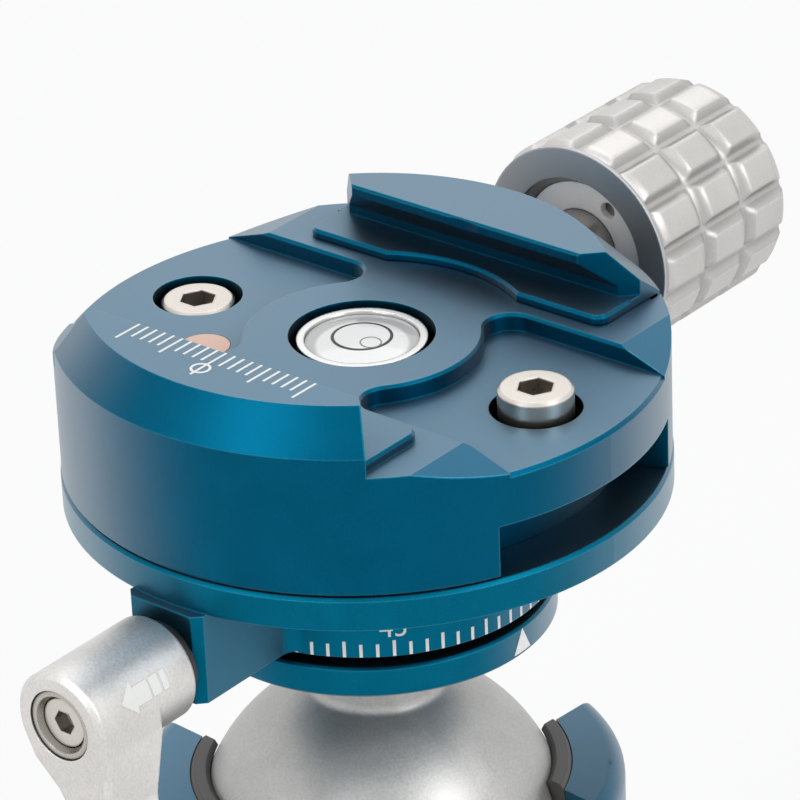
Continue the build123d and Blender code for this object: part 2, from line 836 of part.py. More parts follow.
# ------------------------------------------------------------------ panning base of the clamp
# A disc on a scale drum, with a block on one side that carries the brake lever.
drum_bore = spindle_radius + running_fit
washer_recess = spindle_washer_radius + slip_gap
block_bottom = scale_bottom + block_bottom_gap
with BuildPart() as pan_base:
    with BuildSketch(Plane.XY.offset(scale_bottom)):
        Circle(scale_radius)
    extrude(amount=scale_height)
    with BuildSketch(Plane.XY.offset(block_bottom)):
        Rectangle(2 * block_half_width, block_face, align=(Align.CENTER, Align.MAX))
    extrude(amount=disc_bottom - block_bottom)
    block_corners = pan_base.edges().filter_by(Axis.Z).filter_by(lambda edge: edge.center().Y < 0)
    fillet(block_corners.sort_by(Axis.Y)[2:4], block_fillet)
    outer_corners = pan_base.edges().filter_by(Axis.Z).sort_by(Axis.Y)[0:2]
    chamfer(outer_corners, block_edge)
    with BuildSketch(Plane.XY.offset(disc_bottom)):
        Circle(disc_radius)
    extrude(amount=disc_height)
    with BuildSketch(Plane.XZ):
        with BuildLine():
            Polyline(
                (disc_radius - disc_edge, clamp_bottom),
                (disc_radius + overcut, clamp_bottom),
                (disc_radius + overcut, clamp_bottom - disc_edge - overcut),
                close=True,
            )
        make_face()
    revolve(axis=Axis.Z, mode=Mode.SUBTRACT)
    with BuildSketch(Plane.XY.offset(scale_bottom)):
        Circle(drum_bore)
    extrude(amount=scale_height + disc_height, mode=Mode.SUBTRACT)
    with BuildSketch(Plane.XY.offset(clamp_bottom)):
        Circle(washer_recess)
    extrude(amount=spindle_top - bore_fit - clamp_bottom, mode=Mode.SUBTRACT)
    with BuildSketch(facing_front(drum_bore - overcut, lever_z)):
        Circle(stud_radius + bore_fit)
    extrude(amount=block_face, mode=Mode.SUBTRACT)
    with BuildSketch(Plane.XY.offset(disc_bottom)):
        with GridLocations(mount_screw_spacing, 0, 2, 1):
            Circle(mount_screw_radius + running_fit)
    extrude(amount=disc_height, mode=Mode.SUBTRACT)
pan_base.part.label = "pan_base"
export_step(pan_base.part, "parts/pan_base.step")

# Brass pad that presses on the spindle.
pad_nose = groove_floor + brake_nose_gap
pad_body = spindle_radius + brake_shoulder_gap
pad_end = pad_body + brake_pad_length
with BuildPart() as brake_pad:
    with BuildSketch(turning_plane(front, lever_z)):
        with BuildLine():
            Polyline(
                (pad_nose, 0),
                (pad_nose, brake_nose_radius),
                (pad_body, brake_nose_radius),
                (pad_body, brake_pad_radius),
                (pad_end, brake_pad_radius),
                (pad_end, 0),
                close=True,
            )
        make_face()
    revolve(axis=Axis((0, 0, lever_z), front))
brake_pad.part.label = "brake_pad"
export_step(brake_pad.part, "parts/brake_pad.step")

# Dark washer between the block and the lever.
washer_outer_face = block_face + lever_washer_thickness
with BuildPart() as lever_washer:
    with BuildSketch(facing_front(block_face, lever_z)):
        Circle(lever_washer_radius)
        Circle(stud_radius + bore_fit, mode=Mode.SUBTRACT)
    extrude(amount=lever_washer_thickness)
lever_washer.part.label = "lever_washer"
export_step(lever_washer.part, "parts/lever_washer.step")

# Stud: a thread that pushes the pad, and a splined collar that the lever drives.
hub_near = washer_outer_face + hub_gap
hub_far = hub_near + hub_length
collar_near = washer_outer_face + hub_gap / 2
collar_far = hub_near + collar_end
spring_start = hub_near + spring_recess
sleeve_start = spring_start + spring_room
with BuildPart() as lever_stud:
    with BuildSketch(turning_plane(front, lever_z)):
        with BuildLine():
            Polyline(
                (pad_end, 0),
                (pad_end, stud_radius),
                (collar_near, stud_radius),
                (collar_near, spline_radius),
                (collar_far, spline_radius),
                (collar_far, lever_screw_radius + thread_fit),
                (block_face, lever_screw_radius + thread_fit),
                (block_face, 0),
                close=True,
            )
        make_face()
    revolve(axis=Axis((0, 0, lever_z), front))
    with BuildSketch(facing_front(collar_near, lever_z)):
        with PolarLocations(spline_radius, spline_count):
            Circle(spline_groove_radius)
    extrude(amount=collar_far - collar_near, mode=Mode.SUBTRACT)
lever_stud.part.label = "lever_stud"
export_step(lever_stud.part, "parts/lever_stud.step")

# Retaining screw and its sleeve, which shows as a ring in the face of the hub.
sleeve_floor = sleeve_start + sleeve_floor_thickness
sleeve_face = hub_far - slip_gap / 2
sleeve_bore = lever_screw_head_radius + bore_fit
screw_head_top = sleeve_floor + lever_screw_head_height
with BuildPart() as lever_sleeve:
    with BuildSketch(turning_plane(front, lever_z)):
        with BuildLine():
            Polyline(
                (sleeve_start, lever_screw_radius + running_fit),
                (sleeve_start, sleeve_radius),
                (sleeve_face, sleeve_radius),
                (sleeve_face, sleeve_bore + sleeve_edge),
                (screw_head_top, sleeve_bore),
                (sleeve_floor, sleeve_bore),
                (sleeve_floor, lever_screw_radius + running_fit),
                close=True,
            )
        make_face()
    revolve(axis=Axis((0, 0, lever_z), front))
lever_sleeve.part.label = "lever_sleeve"
export_step(lever_sleeve.part, "parts/lever_sleeve.step")

screw_tip = block_face + slip_gap
with BuildPart() as lever_screw:
    with BuildSketch(facing_front(sleeve_floor, lever_z)):
        Circle(lever_screw_head_radius)
    extrude(amount=lever_screw_head_height)
    with BuildSketch(facing_front(screw_tip, lever_z)):
        Circle(lever_screw_radius)
    extrude(amount=sleeve_floor - screw_tip)
    with BuildSketch(facing_front(screw_head_top, lever_z)):
        RegularPolygon(lever_screw_hex / 2, 6, major_radius=False)
    extrude(amount=-lever_screw_hex_depth, mode=Mode.SUBTRACT)
lever_screw.part.label = "lever_screw"
export_step(lever_screw.part, "parts/lever_screw.step")

# Spring that draws the lever back on to its splines.
spring_length = sleeve_start - spring_start
coil_radius = lever_screw_radius + spring_bore_gap + spring_wire / 2
coil_start = (0, -spring_start - spring_wire / 2, lever_z)
coil_rise = spring_length - spring_wire
with BuildPart() as lever_spring:
    with BuildLine() as coil:
        Helix(coil_rise / spring_coils, coil_rise, coil_radius, center=coil_start, direction=front)
    with BuildSketch(Plane(origin=coil.line @ 0, z_dir=coil.line % 0)):
        Circle(spring_wire / 2)
    sweep(path=coil.line, is_frenet=True)
lever_spring.part.label = "lever_spring"
export_step(lever_spring.part, "parts/lever_spring.step")

# Lever: a hub and an arm, the arm cut to its front outline and its side outline.
across_arm = Vector(cos(radians(arm_turn)), 0, sin(radians(arm_turn)))
arm_front = Plane(origin=(0, -hub_near, lever_z), x_dir=across_arm, z_dir=front)
arm_side = Plane(origin=(0, 0, lever_z), x_dir=front, z_dir=-across_arm)
arm_inner = hub_near + arm_start
cheek_top = Vector(hub_radius, 0).rotate(Axis.Z, -arm_cheek_angle)
cheek_foot = cheek_top + Vector(0, -arm_cheek_length).rotate(Axis.Z, -arm_cheek_angle)
with BuildPart() as lever:
    with BuildSketch(arm_side):
        with BuildLine():
            Polyline(
                (arm_inner, 0),
                (hub_far, 0),
                (hub_far, -arm_front_drop),
                (hub_far + 0.37 * arm_end_reach, -0.5 * arm_length),
                (hub_far + arm_end_reach, -arm_length),
                (hub_far + arm_end_start, -arm_length),
                (arm_inner + arm_shoulder_drop, -0.5 * arm_length),
                (arm_inner, -arm_shoulder_drop),
                close=True,
            )
        make_face()
    extrude(amount=hub_radius + overcut, both=True)
    with BuildSketch(arm_front):
        with BuildLine():
            Polyline(
                (-hub_radius, 0),
                (-hub_radius, -hub_radius / 2),
                (-arm_waist, -arm_waist_drop),
                (-arm_half_width, arm_half_width - arm_length),
                (-arm_tip_half_width, -arm_length),
                (arm_tip_half_width, -arm_length),
                (arm_half_width, arm_half_width - arm_length),
                (arm_waist, -arm_waist_drop),
                cheek_foot,
                cheek_top,
                (0, 0),
                close=True,
            )
        make_face()
    extrude(amount=hub_length + 2 * arm_end_reach, mode=Mode.INTERSECT)
    with BuildSketch(facing_front(hub_near, lever_z)):
        Circle(hub_radius)
    extrude(amount=hub_length)
    chamfer(border(lever.faces().filter_by(lambda face: face.normal_at().Y < -0.9)), hub_edge)
    with BuildSketch(facing_front(hub_near, lever_z)):
        Circle(spline_radius + bore_fit)
    extrude(amount=collar_far - hub_near + slip_gap, mode=Mode.SUBTRACT)
    with BuildSketch(facing_front(hub_near, lever_z)):
        Circle(lever_screw_radius + slip_gap)
    extrude(amount=hub_length, mode=Mode.SUBTRACT)
    with BuildSketch(facing_front(spring_start, lever_z)):
        Circle(sleeve_radius + bore_fit)
    extrude(amount=hub_far - spring_start, mode=Mode.SUBTRACT)
lever.part.label = "lever"
export_step(lever.part, "parts/lever.step")

# ------------------------------------------------------------------ clamp body
corner_x = sqrt((land_radius + pocket_corner) ** 2 - (pocket_half_width - pocket_corner) ** 2)
corner_y = pocket_half_width - pocket_corner
land_share = land_radius / (land_radius + pocket_corner)
land_x = corner_x * land_share
land_y = corner_y * land_share
pocket_end = clamp_radius + overcut
head_x = mount_screw_spacing / 2
counterbore_floor = clamp_bottom + counterbore_above_bottom
level_floor = deck - level_recess_depth
apron_recess = apron_front - jaw_travel_in - slip_gap
apron_recess_floor = clamp_bottom + apron_bottom - slip_gap
recess_half_width = seat_half_length + slip_gap
cut_reach = 8.0
outside = clamp_radius + overcut
window_end = clamp_radius + window_depth


def side_pocket(side):
    """Outline of the sunk floor on one side of the level: side is 1 for +X and -1 for -X."""
    Polyline(
        (side * corner_x, pocket_half_width),
        (side * pocket_end, pocket_half_width),
        (side * pocket_end, -pocket_half_width),
        (side * corner_x, -pocket_half_width),
    )
    ThreePointArc(
        (side * corner_x, -pocket_half_width),
        (side * (corner_x - pocket_corner * 0.8), -corner_y - pocket_corner * 0.6),
        (side * (corner_x - pocket_corner), -corner_y),
    )
    ThreePointArc(
        (side * (corner_x - pocket_corner), -corner_y),
        (side * (corner_x - pocket_corner * 0.937), -corner_y + pocket_corner * 0.35),
        (side * land_x, -land_y),
    )
    ThreePointArc((side * land_x, -land_y), (side * land_radius, 0), (side * land_x, land_y))
    ThreePointArc(
        (side * land_x, land_y),
        (side * (corner_x - pocket_corner * 0.937), corner_y - pocket_corner * 0.35),
        (side * (corner_x - pocket_corner), corner_y),
    )
    ThreePointArc(
        (side * (corner_x - pocket_corner), corner_y),
        (side * (corner_x - pocket_corner * 0.8), corner_y + pocket_corner * 0.6),
        (side * corner_x, pocket_half_width),
    )


with BuildPart() as clamp_body:
    # the fixed jaw: a dovetail section along X
    with BuildSketch(Plane.YZ):
        with BuildLine():
            Polyline(
                (-fixed_jaw_lip - lip_bevel, jaw_top),
                (-fixed_jaw_lip, jaw_top - lip_bevel),
                (-fixed_jaw_lip, jaw_top - lip_height),
                (-fixed_jaw_wall, jaw_top - lip_height - fixed_jaw_wall + fixed_jaw_lip),
                (-fixed_jaw_wall, deck - overcut),
                (-outside, deck - overcut),
                (-outside, jaw_top),
                close=True,
            )
        make_face()
    extrude(amount=clamp_radius, both=True)
    # its two ends are cut at 45 degrees
    with BuildSketch(Plane.XY.offset(deck - overcut)):
        with BuildLine():
            Polyline(
                (-fixed_jaw_half_length, -fixed_jaw_lip),
                (fixed_jaw_half_length, -fixed_jaw_lip),
                (fixed_jaw_half_length + cut_reach, -fixed_jaw_lip - cut_reach),
                (fixed_jaw_half_length + cut_reach, -outside),
                (-fixed_jaw_half_length - cut_reach, -outside),
                (-fixed_jaw_half_length - cut_reach, -fixed_jaw_lip - cut_reach),
                close=True,
            )
        make_face()
    extrude(amount=jaw_height + overcut, mode=Mode.INTERSECT)
    # raised seat in front of the jaw
    with BuildSketch(Plane.XY.offset(deck - overcut)):
        with BuildLine():
            Polyline(
                (-seat_half_length, -seat_inner),
                (seat_half_length, -seat_inner),
                (seat_half_length, -clamp_radius),
                (-seat_half_length, -clamp_radius),
                close=True,
            )
        make_face()
        seat_corners = vertices().group_by(Axis.Y)[-1]
        fillet(seat_corners, seat_corner)
    extrude(amount=seat_rise + overcut)
    seat_rim = clamp_body.edges().filter_by_position(Axis.Z, seat_level, seat_level)
    chamfer(seat_rim.filter_by_position(Axis.Y, -fixed_jaw_wall, 0, (False, True)), seat_bevel)
    # the disc under them
    with BuildSketch(Plane.XY.offset(clamp_bottom)):
        Circle(clamp_radius)
    extrude(amount=deck_height)
    # everything is turned to the same outer skin
    with BuildSketch(Plane.XZ):
        with BuildLine():
            Polyline(
                (0, clamp_bottom),
                (clamp_radius - clamp_edge, clamp_bottom),
                (clamp_radius, clamp_bottom + clamp_edge),
                (clamp_radius, clamp_bottom + fixed_jaw_shoulder),
                (fixed_jaw_crown, jaw_top),
                (0, jaw_top),
                close=True,
            )
        make_face()
    revolve(axis=Axis.Z, mode=Mode.INTERSECT)
    # sunk floors beside the level
    with BuildSketch(Plane.XY.offset(deck)):
        with BuildLine():
            side_pocket(1)
        make_face()
        with BuildLine():
            side_pocket(-1)
        make_face()
    extrude(amount=-pocket_depth, mode=Mode.SUBTRACT)
    pocket_rim = clamp_body.edges().filter_by_position(Axis.Z, deck, deck)
    chamfer(pocket_rim.filter_by_position(Axis.Y, -pocket_half_width, pocket_half_width), pocket_bevel)
    # lead-in ramps at both ends of the channel
    with BuildSketch(Plane.XZ):
        for side in (1, -1):
            with BuildLine():
                Polyline(
                    (side * ramp_start, deck),
                    (side * outside, deck),
                    (side * outside, pocket_floor),
                    (side * ramp_end, pocket_floor),
                    close=True,
                )
            make_face()
    extrude(amount=clamp_radius, both=True, mode=Mode.SUBTRACT)
    floor_arcs = clamp_body.edges().filter_by(GeomType.CIRCLE)
    floor_arcs = floor_arcs.filter_by_position(Axis.Z, pocket_floor, pocket_floor)
    chamfer(floor_arcs.filter_by(lambda arc: arc.radius > ramp_end), clamp_edge)
    # recess for the level
    with BuildSketch(Plane.XY.offset(level_floor)):
        Circle(level_recess_radius)
    extrude(amount=level_recess_depth, mode=Mode.SUBTRACT)
    # counterbored holes for the two mounting screws
    with BuildSketch(Plane.XY.offset(counterbore_floor)):
        with GridLocations(mount_screw_spacing, 0, 2, 1):
            Circle(counterbore_radius)
    extrude(amount=deck_height, mode=Mode.SUBTRACT)
    with BuildSketch(Plane.XY.offset(clamp_bottom)):
        with GridLocations(mount_screw_spacing, 0, 2, 1):
            Circle(mount_screw_radius + mount_hole_clearance)
    extrude(amount=deck_height, mode=Mode.SUBTRACT)
    # hole for the stop pin
    with BuildSketch(Plane.XY.offset(pocket_floor)):
        with Locations(stop_pin_position):
            Circle(stop_pin_radius)
    extrude(amount=-stop_pin_length, mode=Mode.SUBTRACT)
    # windows in the skirt under both ends of the channel
    with BuildSketch(Plane.XY.offset(clamp_bottom)):
        for start in (-window_half_angle, 180 - window_half_angle):
            with BuildLine():
                near_arc = CenterArc((0, 0), window_radius, start, 2 * window_half_angle)
                far_arc = CenterArc((0, 0), window_end, start, 2 * window_half_angle)
                Line(near_arc @ 0, far_arc @ 0)
                Line(near_arc @ 1, far_arc @ 1)
            make_face()
    extrude(amount=window_height, mode=Mode.SUBTRACT)
    # recess for the apron of the moving jaw
    with BuildSketch(Plane.XY.offset(apron_recess_floor)):
        with BuildLine():
            Polyline(
                (-recess_half_width, apron_recess),
                (recess_half_width, apron_recess),
                (recess_half_width, outside),
                (-recess_half_width, outside),
                close=True,
            )
        make_face()
    extrude(amount=deck_height, mode=Mode.SUBTRACT)
    # thread for the clamp screw and bores for the guide pins
    with BuildSketch(facing_back(clamp_screw_tip - jaw_travel_in - slip_gap, screw_z)):
        Circle(clamp_screw_radius + thread_fit)
    extrude(amount=clamp_radius, mode=Mode.SUBTRACT)
    with BuildSketch(facing_back(clamp_screw_tip + slip_gap, screw_z)):
        with GridLocations(pin_spacing, 0, 2, 1):
            Circle(pin_radius + running_fit)
    extrude(amount=clamp_radius, mode=Mode.SUBTRACT)
clamp_body.part.label = "clamp_body"
export_step(clamp_body.part, "parts/clamp_body.step")

# ------------------------------------------------------------------ moving jaw
foot_bottom = deck + foot_gap
pin_start = clamp_screw_tip + jaw_travel_in + pin_end_gap
pin_end = apron_front + pin_grip
spot_face = clamp_radius - spot_face_depth
spot_radius = clamp_screw_above_bottom - apron_bottom + bore_fit
with BuildPart() as moving_jaw:
    with BuildSketch(Plane.YZ):
        with BuildLine():
            Polyline(
                (moving_foot_front, foot_bottom),
                (apron_front, foot_bottom),
                (apron_front, clamp_bottom + apron_bottom),
                (outside, clamp_bottom + apron_bottom),
                (outside, jaw_top),
                (moving_jaw_lip + lip_bevel, jaw_top),
                (moving_jaw_lip, jaw_top - lip_bevel),
                (moving_jaw_lip, jaw_top - lip_height),
                (moving_jaw_wall, jaw_top - lip_height - moving_jaw_wall + moving_jaw_lip),
                (moving_jaw_wall, seat_level),
                (moving_foot_front, seat_level),
                close=True,
            )
        make_face()
    extrude(amount=seat_half_length, both=True)
    # outline from above: a foot with round corners
    with BuildSketch(Plane.XY.offset(clamp_bottom)):
        with BuildLine():
            Polyline(
                (-seat_half_length, moving_foot_front),
                (seat_half_length, moving_foot_front),
                (seat_half_length, outside),
                (-seat_half_length, outside),
                close=True,
            )
        make_face()
        fillet(vertices().group_by(Axis.Y)[0], seat_corner)
        Circle(moving_foot_arc, mode=Mode.SUBTRACT)
    extrude(amount=jaw_top - clamp_bottom, mode=Mode.INTERSECT)
    foot_rim = moving_jaw.edges().filter_by_position(Axis.Z, seat_level, seat_level)
    chamfer(foot_rim.filter_by_position(Axis.Y, 0, moving_jaw_wall, (True, False)), seat_bevel)
    # the skin of the disc and the large outer bevel
    bevel_drop = clamp_radius - moving_jaw_crown
    with BuildSketch(Plane.XZ):
        with BuildLine():
            Polyline(
                (0, clamp_bottom),
                (clamp_radius, clamp_bottom),
                (clamp_radius, jaw_top - bevel_drop),
                (moving_jaw_crown, jaw_top),
                (0, jaw_top),
                close=True,
            )
        make_face()
    revolve(axis=Axis.Z, mode=Mode.INTERSECT)
    # both ends of the lip are cut at 45 degrees
    with BuildSketch(Plane.XY.offset(seat_level)):
        for side in (1, -1):
            with BuildLine():
                Polyline(
                    (side * moving_jaw_half_length, moving_jaw_lip),
                    (side * (moving_jaw_half_length + cut_reach), moving_jaw_lip + cut_reach),
                    (side * (moving_jaw_half_length + cut_reach), 0),
                    (side * moving_jaw_half_length, 0),
                    close=True,
                )
            make_face()
    extrude(amount=jaw_height, mode=Mode.SUBTRACT)
    # screw hole, spot face for the thrust washer and blind bores for the pins
    with BuildSketch(facing_back(apron_front - overcut, screw_z)):
        Circle(clamp_screw_radius + 2 * bore_fit)
    extrude(amount=clamp_radius, mode=Mode.SUBTRACT)
    with BuildSketch(facing_back(spot_face, screw_z)):
        Circle(spot_radius + bore_fit)
    extrude(amount=clamp_radius, mode=Mode.SUBTRACT)
    with BuildSketch(facing_back(apron_front - overcut, screw_z)):
        with GridLocations(pin_spacing, 0, 2, 1):
            Circle(pin_radius)
    extrude(amount=pin_grip + overcut, mode=Mode.SUBTRACT)
moving_jaw.part.label = "moving_jaw"
export_step(moving_jaw.part, "parts/moving_jaw.step")

with BuildPart() as guide_pins:
    with BuildSketch(facing_back(pin_start, screw_z)):
        with GridLocations(pin_spacing, 0, 2, 1):
            Circle(pin_radius)
    extrude(amount=pin_end - pin_start)
guide_pins.part.label = "guide_pins"
export_step(guide_pins.part, "parts/guide_pins.step")

with BuildPart() as thrust_washer:
    with BuildSketch(facing_back(spot_face, screw_z)):
        Circle(spot_radius)
        Circle(clamp_screw_radius + bore_fit, mode=Mode.SUBTRACT)
    extrude(amount=thrust_washer_thickness)
thrust_washer.part.label = "thrust_washer"
export_step(thrust_washer.part, "parts/thrust_washer.step")

# ------------------------------------------------------------------ clamp knob
knob_hub = spot_face + thrust_washer_thickness + bore_fit
knob_face_radius = knob_radius - grip_bevel
grip_near = knob_near_face + knob_face_thickness
knob_disc_radius = knob_dish_radius - knob_dish_bevel
dish_floor = grip_near + knob_dish_bevel
disc_floor = dish_floor + knob_disc_thickness
screw_end = knob_far_face - knob_screw_cap
with BuildPart() as clamp_screw:
    with BuildSketch(facing_back(clamp_screw_tip, screw_z)):
        Circle(clamp_screw_radius)
    extrude(amount=screw_end - clamp_screw_tip)
clamp_screw.part.label = "clamp_screw"
export_step(clamp_screw.part, "parts/clamp_screw.step")

with BuildPart() as clamp_knob:
    with BuildSketch(turning_plane(back, screw_z)):
        with BuildLine():
            Polyline(
                (knob_hub, clamp_screw_radius),
                (knob_hub, spot_radius),
                (disc_floor, spot_radius),
                (disc_floor, knob_disc_radius),
                (dish_floor, knob_disc_radius),
                (grip_near, knob_dish_radius),
                *ringed_skin(grip_near, knob_far_face, knob_rows, knob_radius),
                (knob_far_face, 0),
                (screw_end, 0),
                (screw_end, clamp_screw_radius),
                close=True,
            )
        make_face()
    revolve(axis=Axis((0, 0, screw_z), back))
    with BuildSketch(facing_back(grip_near, screw_z)):
        with PolarLocations(knob_radius - grip_depth + groove_height / 2, knob_columns, 90):
            Trapezoid(groove_width, groove_height, 45, rotation=90)
    extrude(amount=knob_length, mode=Mode.SUBTRACT)
clamp_knob.part.label = "clamp_knob"
export_step(clamp_knob.part, "parts/clamp_knob.step")

# Dark ring on the near face of the knob and the bright dished washer inside it.
with BuildPart() as knob_face_ring:
    with BuildSketch(facing_back(knob_near_face, screw_z)):
        Circle(knob_face_radius)
        Circle(knob_dish_radius, mode=Mode.SUBTRACT)
    extrude(amount=knob_face_thickness)
knob_face_ring.part.label = "knob_face_ring"
export_step(knob_face_ring.part, "parts/knob_face_ring.step")

with BuildPart() as knob_inner_disc:
    with BuildSketch(facing_back(dish_floor, screw_z)):
        Circle(knob_disc_radius - running_fit)
        Circle(spot_radius + running_fit, mode=Mode.SUBTRACT)
        with Locations(knob_hole_place):
            Circle(knob_hole_radius, mode=Mode.SUBTRACT)
    extrude(amount=knob_disc_thickness)
knob_inner_disc.part.label = "knob_inner_disc"
export_step(knob_inner_disc.part, "parts/knob_inner_disc.step")

# ------------------------------------------------------------------ mounting screws
def mounting_screw(place, lift):
    """Socket head screw at this place, raised by this much out of its counterbore."""
    head_bottom = counterbore_floor + lift
    head_top = head_bottom + mount_head_height
    shank = counterbore_floor - disc_bottom - mount_tip_gap
    with BuildPart() as screw:
        with BuildSketch(Plane((place, 0, head_bottom))):
            Circle(mount_head_radius)
        extrude(amount=mount_head_height)
        chamfer(screw.faces().sort_by(Axis.Z)[-1].edges(), mount_head_edge)
        with BuildSketch(Plane((place, 0, head_bottom))):
            Circle(mount_screw_radius)
        extrude(amount=-shank)
        with BuildSketch(Plane((place, 0, head_top))):
            RegularPolygon(mount_hex / 2, 6, major_radius=False)
        extrude(amount=-mount_hex_depth, mode=Mode.SUBTRACT)
    return screw


seated_screw = mounting_screw(-head_x, 0)
seated_screw.part.label = "seated_screw"
export_step(seated_screw.part, "parts/seated_screw.step")

raised_screw = mounting_screw(head_x, raised_screw_lift)
raised_screw.part.label = "raised_screw"
export_step(raised_screw.part, "parts/raised_screw.step")

# Brass pin that stops a plate, flush with the sunk floor.
with BuildPart() as stop_pin:
    with BuildSketch(Plane.XY.offset(pocket_floor)):
        with Locations(stop_pin_position):
            Circle(stop_pin_radius - running_fit)
    extrude(amount=-stop_pin_length)
stop_pin.part.label = "stop_pin"
export_step(stop_pin.part, "parts/stop_pin.step")

# ------------------------------------------------------------------ bubble level
level_rim = deck - level_below_deck
glass_bottom = level_rim - level_window_thickness
dome_edge = level_radius - level_wall - running_fit
dome_low = level_rim - level_dome_foot
dome_high = level_rim + level_dome_rise
dome_radius = (dome_edge**2 / (dome_high - dome_low) + dome_high - dome_low) / 2
dome_middle = dome_high - dome_radius + sqrt(dome_radius**2 - dome_edge**2 / 4)
with BuildPart() as level_cup:
    with BuildSketch(Plane.XY.offset(level_floor)):
        Circle(level_radius)
    extrude(amount=level_rim - level_floor)
    with BuildSketch(Plane.XY.offset(level_floor + level_base)):
        Circle(level_radius - level_wall)
    extrude(amount=level_rim - level_floor, mode=Mode.SUBTRACT)
level_cup.part.label = "level_cup"
export_step(level_cup.part, "parts/level_cup.step")

with BuildPart() as level_fluid:
    with BuildSketch(Plane.XY.offset(level_floor + level_base)):
        Circle(level_radius - level_wall - running_fit)
    extrude(amount=glass_bottom - level_floor - level_base)
level_fluid.part.label = "level_fluid"
export_step(level_fluid.part, "parts/level_fluid.step")

# Domed window over the fluid.
with BuildPart() as level_window:
    with BuildSketch(Plane.XZ):
        with BuildLine():
            Polyline((0, dome_high), (0, glass_bottom), (dome_edge, glass_bottom), (dome_edge, dome_low))
            ThreePointArc((dome_edge, dome_low), (dome_edge / 2, dome_middle), (0, dome_high))
        make_face()
    revolve(axis=Axis.Z)
level_window.part.label = "level_window"
export_step(level_window.part, "parts/level_window.step")
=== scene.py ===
# %% [markdown]
# # A tripod ball head in its studio
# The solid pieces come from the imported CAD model, which is a fixed frame here. This script
# gives them their finish, adds the engraved scales and the bubble level's marks, and sets
# light and camera. Lengths are in metres, and `mm` turns a length in millimetres into
# metres. The front of the head, where its lever is, faces -Y.

# %% Load the frame
import json
from math import cos, pi, radians, sin
import bpy
import bmesh
from mathutils import Matrix, Vector


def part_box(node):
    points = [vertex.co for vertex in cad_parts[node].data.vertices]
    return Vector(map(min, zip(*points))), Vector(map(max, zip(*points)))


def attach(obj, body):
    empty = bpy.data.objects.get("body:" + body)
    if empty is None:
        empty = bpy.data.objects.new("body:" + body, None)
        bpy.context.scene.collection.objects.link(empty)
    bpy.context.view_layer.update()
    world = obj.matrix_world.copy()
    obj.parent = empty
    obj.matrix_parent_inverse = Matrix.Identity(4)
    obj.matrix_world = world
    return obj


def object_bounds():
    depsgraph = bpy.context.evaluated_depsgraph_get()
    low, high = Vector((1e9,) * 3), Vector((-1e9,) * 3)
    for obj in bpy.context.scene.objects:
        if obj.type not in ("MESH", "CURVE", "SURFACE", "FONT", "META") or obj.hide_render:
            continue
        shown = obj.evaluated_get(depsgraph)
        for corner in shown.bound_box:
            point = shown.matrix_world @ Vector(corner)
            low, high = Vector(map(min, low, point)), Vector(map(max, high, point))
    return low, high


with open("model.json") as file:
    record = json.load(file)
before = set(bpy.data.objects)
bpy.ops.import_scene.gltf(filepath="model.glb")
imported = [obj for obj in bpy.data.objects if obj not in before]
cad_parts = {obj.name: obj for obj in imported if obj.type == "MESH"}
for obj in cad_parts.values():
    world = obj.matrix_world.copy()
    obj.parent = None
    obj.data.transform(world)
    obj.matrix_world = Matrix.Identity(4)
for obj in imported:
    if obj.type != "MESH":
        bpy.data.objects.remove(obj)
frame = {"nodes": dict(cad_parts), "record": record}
cad_low, cad_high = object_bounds()
mm = 0.001
print("CAD box in mm:", [round(side / mm, 1) for side in cad_high - cad_low])

# %% [markdown]
# ## Heights that the marks and the camera need
# Each height is read from the box of a CAD node, so the marks stay on their surfaces when
# the model changes.

# %% Reference heights
clamp_low, clamp_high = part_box("clamp_body")
clamp_bottom = clamp_low.z
jaw_top = clamp_high.z
drum_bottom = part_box("pan_base")[0].z
ring_low, ring_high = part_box("index_ring")
print("clamp from", round(clamp_bottom / mm, 2), "to", round(jaw_top / mm, 2), "mm")

# %% [markdown]
# ## Camera
# A long lens from a fair distance keeps the clamp's circle a clean ellipse. A camera can be
# aimed with a Track To constraint, but that always keeps it level. Its right, up and back
# directions are written out instead, because this one is also turned by two degrees about
# its own axis. It looks down at the right-hand front corner of the clamp.


# %% A direction round the head
def direction(azimuth, elevation):
    """The direction from the head to a place round it; azimuth 0 is the front."""
    level = cos(elevation)
    return Vector((sin(azimuth) * level, -cos(azimuth) * level, sin(elevation)))


# %% Camera
target = Vector((0, 0, clamp_bottom))
upright = Vector((0, 0, 1))
view_azimuth = radians(39.839)
view_elevation = radians(27.247)
view_roll = radians(-2.3555)
view_distance = 439.25 * mm
aim_right = 2.98 * mm
aim_up = 4.314 * mm
lens_length = 218.79
sensor_width = 36
nearest_seen = 10 * mm

from_target = direction(view_azimuth, view_elevation)
level_right = (-from_target).cross(upright).normalized()
level_up = level_right.cross(-from_target)
camera_right = level_right * cos(view_roll) + level_up * sin(view_roll)
camera_up = level_up * cos(view_roll) - level_right * sin(view_roll)
camera_place = target + from_target * view_distance
camera_place += camera_right * aim_right + camera_up * aim_up

camera = bpy.data.objects.new("camera", bpy.data.cameras.new("camera"))
bpy.context.scene.collection.objects.link(camera)
camera.matrix_world = Matrix((
    (camera_right.x, camera_up.x, from_target.x, camera_place.x),
    (camera_right.y, camera_up.y, from_target.y, camera_place.y),
    (camera_right.z, camera_up.z, from_target.z, camera_place.z),
    (0, 0, 0, 1),
))
camera.data.sensor_width = sensor_width
camera.data.lens = lens_length
camera.data.clip_start = nearest_seen
bpy.context.scene.camera = camera
print("camera at", [round(side / mm) for side in camera_place], "mm")

